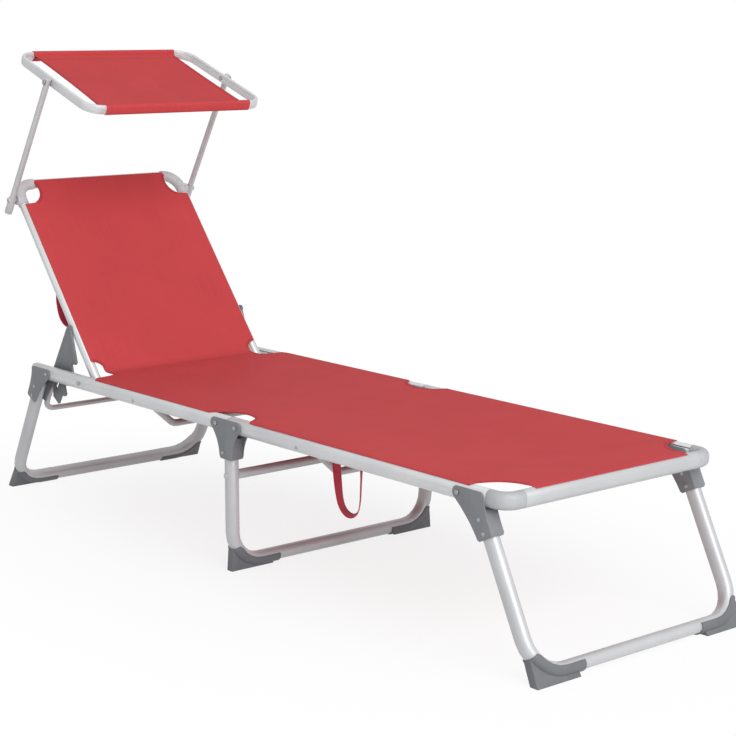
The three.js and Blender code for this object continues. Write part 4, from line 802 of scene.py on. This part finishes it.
seat_fabric, seat_flat, seat_area = SEAT_SLING.build("seat_fabric")
foot_fabric, foot_flat, foot_area = FOOT_SLING.build("foot_fabric")
back_fabric, back_flat, back_area = BACK_SLING.build("backrest_fabric")
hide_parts("seat_sling")
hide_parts("foot_sling")
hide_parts("backrest_sling", "crease_sling")

seat_hem, seat_threads = hems("seat_hem", SEAT_SLING,
                              [(SEAT_HEAD_X, SEAT_HEAD_X + 15), (-HINGE_REACH + 3, 0)])
foot_hem, foot_threads = hems("foot_hem", FOOT_SLING, [(0, HINGE_REACH - 3), (FOOT_BITE_START + 1, 784)])
back_hem, back_threads = hems("backrest_hem", BACK_SLING,
                              [(0, CREASE_ALONG + 3 + BACK_OFFSET),
                               (BACK_BITE_START + 1.7 + BACK_OFFSET, BACK_BITE_END + BACK_OFFSET)])

for piece in (seat_fabric, seat_hem, seat_threads):
    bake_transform(piece)
for piece in (foot_fabric, foot_hem, foot_threads):
    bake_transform(piece)
for piece in (back_fabric, back_hem, back_threads):
    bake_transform(piece)


# Sunshade cover

def shade_height(x):
    """The panel's height over the middle of the ring, from the back bar to the front bar."""
    return np.interp(x, (CANOPY_BACK, CANOPY_FRONT), (SHADE_RISE_BACK, SHADE_RISE_FRONT))


def arc(x, z, radius, inside, first, last, count=8):
    turns = np.radians(np.linspace(first, last, count + 1))
    return [(x + inside * radius * math.cos(t), z + radius * math.sin(t)) for t in turns]


def sleeve(centre, inside):
    """From the seam below the panel, down round the bar and up over it to the panel.

    The curves leave the seam and reach the panel nearly level, and meet the bar's sides upright.
    """
    hx, hz = SLEEVE_HALF
    level = shade_height(centre)

    def place(past, rise):
        return centre + inside * (hx + past), rise

    points = [place(SLEEVE_RUN + SEAM_TAIL, level - SEAM_DROP), place(SLEEVE_RUN, level - SEAM_DROP)]
    under = quadratic(place(SLEEVE_RUN - 4, level - 1.5), place(3, level - 2.5), place(0, -hz + hx + 1),
                      SLEEVE_STEPS)
    over = quadratic(place(0.6, hz - hx - 2), place(4, level + 1.5), place(SLEEVE_RUN - 4, level + 0.3),
                     SLEEVE_STEPS)
    points += under.tolist()
    points += arc(centre, -hz + hx, hx, inside, 0, -180)
    points += arc(centre, hz - hx, hx, inside, 180, 0)
    return points + over.tolist()


def canopy_cover():
    """One sheet: round the back bar, over to the front bar and round it, with both ends sewn underneath."""
    hx = SLEEVE_HALF[0]
    first, last = CANOPY_BACK + hx + SLEEVE_RUN, CANOPY_FRONT - hx - SLEEVE_RUN
    back = sleeve(CANOPY_BACK, 1)
    front = sleeve(CANOPY_FRONT, -1)
    middle = [(x, shade_height(x)) for x in np.linspace(first, last, SHADE_ROWS)]
    profile = np.array(back + middle + front[::-1])
    place = distances(profile)
    edge = np.concatenate([
        [(CANOPY_BACK + hx + 1, SLEEVE_WIDE)],
        quadratic((CANOPY_BACK + hx + 2, SLEEVE_WIDE), (CANOPY_BACK + 9, SHADE_BACK_WIDE),
                  (first + 8, SHADE_BACK_WIDE)),
        quadratic((CANOPY_BACK + 40, SHADE_BACK_WIDE), (0, SHADE_BACK_WIDE - 3),
                  (CANOPY_FRONT - 40, SHADE_FRONT_WIDE)),
        [(CANOPY_FRONT - hx - 1, SLEEVE_WIDE)]])
    panel = range(len(back) - SLEEVE_STEPS, len(back) + len(middle) + SLEEVE_STEPS)

    shares = np.linspace(-1, 1, SHADE_ACROSS + 1)
    vertices, uvs, faces = [], [], []
    for index, (x, z) in enumerate(profile):
        on_panel = index in panel
        half = float(np.interp(x, edge[:, 0], edge[:, 1])) if on_panel else SLEEVE_WIDE
        hollow = (ease((x - CANOPY_BACK - SHADE_SAG_START) / SHADE_SAG_RUN)
                  * ease((CANOPY_FRONT - SHADE_SAG_START - x) / SHADE_SAG_RUN))
        for share in shares:
            dip = SHADE_SAG * hollow * (1 - share ** 2) if on_panel else 0.0
            vertices.append(CANOPY.at(x, share * half, z - dip))
            uvs.append((share * half, place[index]))
    columns = SHADE_ACROSS + 1
    for r in range(len(profile) - 1):
        for c in range(SHADE_ACROSS):
            a = r * columns + c
            faces.append((a, a + 1, a + columns + 1, a + columns))
    made = make_object("canopy_fabric", vertices, faces, LOOKS["sling"], uvs)
    thicken(made, SHADE_THICKNESS)

    threads = Parts()
    ys = np.linspace(-SHADE_BACK_WIDE + 3, SHADE_BACK_WIDE - 3, 60)
    for bar, inside in ((CANOPY_BACK, 1), (CANOPY_FRONT, -1)):
        for gap in SLEEVE_SEAMS:
            x = bar + inside * (hx + SLEEVE_RUN + gap)
            path = np.array([CANOPY.at(x, y, shade_height(x) + 0.5) for y in ys])
            stitch(threads, path, np.tile(CANOPY.out, (len(ys), 1)), STITCH_PITCH, SHADE_STITCH)

    hem = Parts()
    section = rounded_section(*SHADE_HEM, (2.9, 0.0))
    xs = np.linspace(first - 2, last + 2, 40)
    for side in SIDES:
        points = np.array([CANOPY.at(x, side * y, shade_height(x))
                           for x, y in zip(xs, np.interp(xs, edge[:, 0], edge[:, 1]))])
        normals = np.tile(CANOPY.out, (len(points), 1))
        inward = np.cross(normals, tangents_of(points))
        inward *= np.sign(-side * inward[:, 1:2])
        strip, strip_faces = band(points, inward, normals, section)
        hem.add(strip, strip_faces, band_uvs(section, np.arange(len(points)) * SHADE_HEM_PACE))
        seam = points + inward * SHADE_HEM_SEAM + normals * (SHADE_HEM[1] / 2)
        stitch(threads, seam, normals, STITCH_PITCH, SHADE_STITCH)
    hem_piece = hem.build("canopy_hem", LOOKS["hem"])
    thread_piece = threads.build("canopy_stitches", LOOKS["thread"])
    for piece in (made, hem_piece, thread_piece):
        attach(piece, "canopy")
    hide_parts("canopy_cover")


canopy_cover()


# Straps

def smooth_path(points, count):
    """A Catmull-Rom line through points."""
    points = np.asarray(points, float)
    padded = np.vstack([2 * points[0] - points[1], points, 2 * points[-1] - points[-2]])
    out = []
    spans = len(points) - 1
    for share in np.linspace(0, spans, count):
        i = min(int(share), spans - 1)
        t = share - i
        a, b, c, d = padded[i:i + 4]
        out.append(0.5 * ((2 * b) + (c - a) * t + (2 * a - 5 * b + 4 * c - d) * t ** 2
                          + (3 * b - a - 3 * c + d) * t ** 3))
    return np.array(out)


def ribbon(name, route, twist):
    """Webbing along a route, with the lean of its width towards +X at each share of the way."""
    path = smooth_path(route, STRAP_ROWS)
    tangent = tangents_of(path)
    shares = np.linspace(0, 1, len(path))
    wide = np.tile(np.array([0.0, 1.0, 0.0]), (len(path), 1))
    wide[:, 0] += np.interp(shares, *zip(*twist))
    wide -= tangent * (wide * tangent).sum(1)[:, None]
    wide /= np.linalg.norm(wide, axis=1)[:, None]
    normal = np.cross(tangent, wide)
    section = rounded_section(STRAP_WIDTH, STRAP_THICKNESS, STRAP_THICKNESS * 0.45)
    vertices, faces = band(path, wide, normal, section)
    place = distances(path)
    parts = Parts()
    parts.add(vertices, faces, band_uvs(section, place))
    made = parts.build(name, LOOKS["strap"])
    threads = Parts()
    for edge in (-1, 1):
        for face in (-1, 1):
            line = path + wide * edge * (STRAP_WIDTH / 2 - STRAP_SEAM) + normal * face * STRAP_THICKNESS / 2
            stitch(threads, line, normal * face, *STRAP_STITCH)
    thread_piece = threads.build(name + "_stitches", LOOKS["strap_thread"])
    return made, thread_piece, float(place[-1])


def foot_strap():
    """A carrying loop sewn under the foot mesh beside the near rail. It hangs with a half twist.

    The line is (x, z) from the head end's tab to the foot end's, read from the photograph.
    """
    low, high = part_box("foot_strap")
    centre = (low.x + high.x) / 2 / MM - SHIFT + STRAP_SET_BACK
    y = (low.y + high.y) / 2 / MM + STRAP_SET_OUT
    bottom = low.z / MM + 2
    half, tab = FOOT_STRAP_HALF, FOOT_STRAP_TAB
    head, foot = centre - half, centre + half
    top = FOOT_SLING.point(centre, y)[2] - 1.5
    line = [(head - tab, top), (head - tab * 0.4, top - 0.2), (head, top - 5),
            (head + 1, top - 36), (head + 3, top - 72), (centre - half * 0.62, bottom + 17),
            (centre + 4, bottom), (centre + half * 0.78, bottom + 17), (foot - 2, top - 72),
            (foot - 1, top - 36), (foot, top - 5), (foot + tab * 0.4, top - 0.2), (foot + tab, top)]
    twist = [(0, 0), (0.12, 0), (0.2, -0.2), (0.36, -0.3), (0.48, -0.7), (0.58, -1.1), (0.68, -1.0),
             (0.8, -0.5), (0.88, 0), (1, 0)]
    made, threads, length = ribbon("foot_carry_strap", [(x, y, z) for x, z in line], twist)
    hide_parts("foot_strap")
    for piece in (made, threads):
        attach(piece, "foot_section")
        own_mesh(piece)


def back_strap():
    """Sewn to the back of the backrest mesh beside the near tube, it hangs behind it.

    The line is (place along the backrest, height out of it), read from the photograph.
    """
    centre, half, drop = BACK_STRAP
    low, high = centre - half, centre + half
    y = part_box("backrest_strap")[0].y / MM - 4
    rise = BACKREST_RISE - 1.8
    line = [(low - 26, rise), (low - 9, rise - 0.2), (low, rise - 6), (low - 2, rise - drop * 0.5),
            (centre - half * 0.8, rise - drop * 0.86), (centre - 6, rise - drop),
            (centre + half * 0.7, rise - drop * 0.72), (high - 2, rise - drop * 0.3),
            (high, rise - 6), (high + 9, rise - 0.2), (high + 26, rise)]
    points = [BACKREST.at(-a, y, r) for a, r in line]
    twist = [(0, 0), (0.2, 0), (0.35, 0.15), (0.6, 0.3), (0.8, 0), (1, 0)]
    made, threads, length = ribbon("backrest_carry_strap", points, twist)
    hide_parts("backrest_strap")
    for piece in (made, threads):
        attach(piece, "backrest")


foot_strap()
back_strap()


# Small fasteners

def buttons(name, body, heads, radius, height, look="pin"):
    """Button heads on washers: each is a point on a surface and the direction out of it."""
    parts = Parts()
    washer = [(-0.6, radius + 0.8), (0.4, radius + 0.8), (0.6, radius + 0.5), (0.6, radius * 0.6)]
    for point, axis in heads:
        parts.add(*turned(dome_profile(radius, height, -0.6), point, axis))
        parts.add(*turned(washer, point, axis))
    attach(parts.build(name, LOOKS[look]), body)


def rail_screws():
    """One in the outer side of each rail: the object's name, its body and the place along the rail."""
    rows = (("seat_rail_screws", "seat_frame", -348), ("foot_rail_screws", "foot_section", 232))
    for name, body, x in rows:
        heads = [(SEAT.at(x, side * (RAIL_Y + RAIL_HALF_WIDTH), -4), (0.0, side, 0.0)) for side in SIDES]
        buttons(name, body, heads, *RIVET_HEAD)


def bracket_rivets():
    """In both faces of each plate: its leg, the leg's own axes and body, and the places across and down."""
    rows = (("foot_leg", FOOT_LEG, "foot_leg", LEG_OFFSET, (59, 85)),
            ("head_leg", HEAD_LEG, "head_leg", -LEG_OFFSET, (59, 85)),
            ("middle", SEAT, "middle_leg", -9, (58,)))
    for label, place, body, x, drops in rows:
        heads = [(place.at(x, side * RAIL_Y + face * PLATE_FACE, -drop), (0.0, face, 0.0))
                 for side in SIDES for drop in drops for face in (-1, 1)]
        buttons(label + "_bracket_rivets", body, heads, *RIVET_HEAD)


def knuckle_screws():
    """A screw head on each knuckle, and a grey disc inside each rod holder's mouth, painted shade for its
    dark hollow.
    """
    heads = [(ARMS.at(0, side * KNUCKLE_END, 0), (0.0, side, 0.0)) for side in SIDES]
    buttons("knuckle_screws", "canopy_arms", heads, *KNUCKLE_HEAD, "screw")
    # Painted shade: a grey disc just inside each holder's open end darkens it.
    shade_discs = Parts()
    for side in SIDES:
        mouth = ARMS.at(0, side * (KNUCKLE_END - MOUTH_ACROSS), MOUTH_ALONG)
        shade_discs.add(*turned(MOUTH_SHADE_DISC, mouth, -ARMS.out))
    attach(shade_discs.build("holder_mouth_shade_discs", LOOKS["cap"]), "canopy_arms")


rail_screws()
bracket_rivets()
knuckle_screws()


# Floor, light and camera

FLOOR_SIZE = 30.0
FLOOR_STRETCH = 0.62
FLOOR_FADE = (("From Min", 0.25), ("From Max", 0.95), ("To Min", 0.82), ("To Max", 1.0))
WHITE = (1.0, 1.0, 1.0, 1.0)
SOFT_LIGHT = 0.42
# Each lamp's name, place, target, size in metres and power in watts.
LAMPS = (("foot_side", (5.5, -1.2, 3.4), (-0.2, 0.0, 0.4), 5.0, 350.0),
         ("above", (-0.4, 0.2, 3.8), (-0.2, 0.0, 0.3), 3.0, 14.0),
         ("near_side", (-0.8, -3.4, 1.8), (0.0, 0.0, 0.4), 2.4, 10.0))
# The camera was fitted to the photograph: its place in metres, and the rest in radians and pixels.
CAMERA_PLACE = (2.9866, -2.3779, 1.1080)
CAMERA_YAW = 2.4508
CAMERA_PITCH = -0.1865
CAMERA_FOCAL = 1845.9
CAMERA_CENTRE = (365.8, 369.6)
PICTURE_SIZE = 736
SENSOR = 36


def white_ground():
    """A pale floor that fades to plain white away from the object, and keeps the shadow under it."""
    g = Graph("floor")
    fine = g.noise(g.coordinates("Object"), 3.0, 2.0, 0.5)
    g.feed("Base Color", g.ramp(fine, [(0.2, (0.90, 0.90, 0.90, 1)), (0.8, (0.94, 0.94, 0.94, 1))]))
    g.feed("Roughness", 0.9)
    g.feed("Specular IOR Level", 0.0)
    position = g.node("ShaderNodeSeparateXYZ")
    g.link(g.node("ShaderNodeNewGeometry").outputs["Position"], position.inputs[0])
    across = g.math("MULTIPLY", position.outputs[0], FLOOR_STRETCH)
    squares = g.math("ADD", g.math("POWER", across, 2.0), g.math("POWER", position.outputs[1], 2.0))
    fade = g.node("ShaderNodeMapRange", interpolation_type="SMOOTHSTEP")
    for label, value in FLOOR_FADE:
        fade.inputs[label].default_value = value
    g.link(g.math("SQRT", squares), fade.inputs["Value"])
    rays = g.node("ShaderNodeLightPath")
    seen = g.math("MAXIMUM", g.math("MAXIMUM", rays.outputs["Is Camera Ray"], rays.outputs["Is Glossy Ray"]),
                  rays.outputs["Is Transmission Ray"])
    glow = g.node("ShaderNodeEmission", Color=WHITE, Strength=1.0)
    mix = g.node("ShaderNodeMixShader")
    g.link(g.math("MULTIPLY", fade.outputs["Result"], seen), mix.inputs[0])
    g.link(g.shader.outputs[0], mix.inputs[1])
    g.link(glow.outputs[0], mix.inputs[2])
    g.link(mix.outputs[0], g.nodes["Material Output"].inputs["Surface"])
    return g.material


def floor():
    mesh = bpy.data.meshes.new("floor")
    corners = [(x * FLOOR_SIZE, y * FLOOR_SIZE, 0) for x, y in ((-1, -1), (1, -1), (1, 1), (-1, 1))]
    mesh.from_pydata(corners, [], [(0, 1, 2, 3)])
    ground = bpy.data.objects.new("floor", mesh)
    bpy.context.scene.collection.objects.link(ground)
    mesh.materials.append(white_ground())


def sky():
    """A soft even light, which the camera and the reflections see as plain white."""
    world = bpy.data.worlds.new("studio")
    bpy.context.scene.world = world
    world.use_nodes = True
    nodes, links = world.node_tree.nodes, world.node_tree.links
    nodes.clear()
    out = nodes.new("ShaderNodeOutputWorld")
    shades = []
    for strength in (SOFT_LIGHT, 1.0):
        shade = nodes.new("ShaderNodeBackground")
        shade.inputs["Color"].default_value = WHITE
        shade.inputs["Strength"].default_value = strength
        shades.append(shade)
    rays = nodes.new("ShaderNodeLightPath")
    mix = nodes.new("ShaderNodeMixShader")
    seen = rays.outputs["Is Camera Ray"]
    for ray in ("Is Glossy Ray", "Is Transmission Ray"):
        either = nodes.new("ShaderNodeMath")
        either.operation = "MAXIMUM"
        links.new(seen, either.inputs[0])
        links.new(rays.outputs[ray], either.inputs[1])
        seen = either.outputs[0]
    links.new(seen, mix.inputs[0])
    links.new(shades[0].outputs[0], mix.inputs[1])
    links.new(shades[1].outputs[0], mix.inputs[2])
    links.new(mix.outputs[0], out.inputs["Surface"])


def lamps():
    for name, place, target, size, energy in LAMPS:
        data = bpy.data.lights.new(name, "AREA")
        data.shape = "SQUARE"
        data.size = size
        data.energy = energy
        lamp = bpy.data.objects.new(name, data)
        bpy.context.scene.collection.objects.link(lamp)
        lamp.location = place
        direction = Vector(target) - Vector(place)
        lamp.rotation_mode = "QUATERNION"
        lamp.rotation_quaternion = direction.to_track_quat("-Z", "Y")


def camera():
    data = bpy.data.cameras.new("camera")
    made = bpy.data.objects.new("camera", data)
    bpy.context.scene.collection.objects.link(made)
    bpy.context.scene.camera = made
    level = math.cos(CAMERA_PITCH)
    look = Vector((math.cos(CAMERA_YAW) * level, math.sin(CAMERA_YAW) * level, math.sin(CAMERA_PITCH)))
    x, y, z = CAMERA_PLACE
    made.location = (x + SHIFT * MM, y, z)
    made.rotation_mode = "QUATERNION"
    made.rotation_quaternion = look.to_track_quat("-Z", "Y")
    data.sensor_width = SENSOR
    data.lens = CAMERA_FOCAL * SENSOR / PICTURE_SIZE
    data.shift_x = -(CAMERA_CENTRE[0] - PICTURE_SIZE / 2) / PICTURE_SIZE
    data.shift_y = (CAMERA_CENTRE[1] - PICTURE_SIZE / 2) / PICTURE_SIZE
    data.clip_start, data.clip_end = 0.05, 100


floor()
sky()
lamps()
camera()
bpy.context.scene.view_settings.view_transform = "Standard"
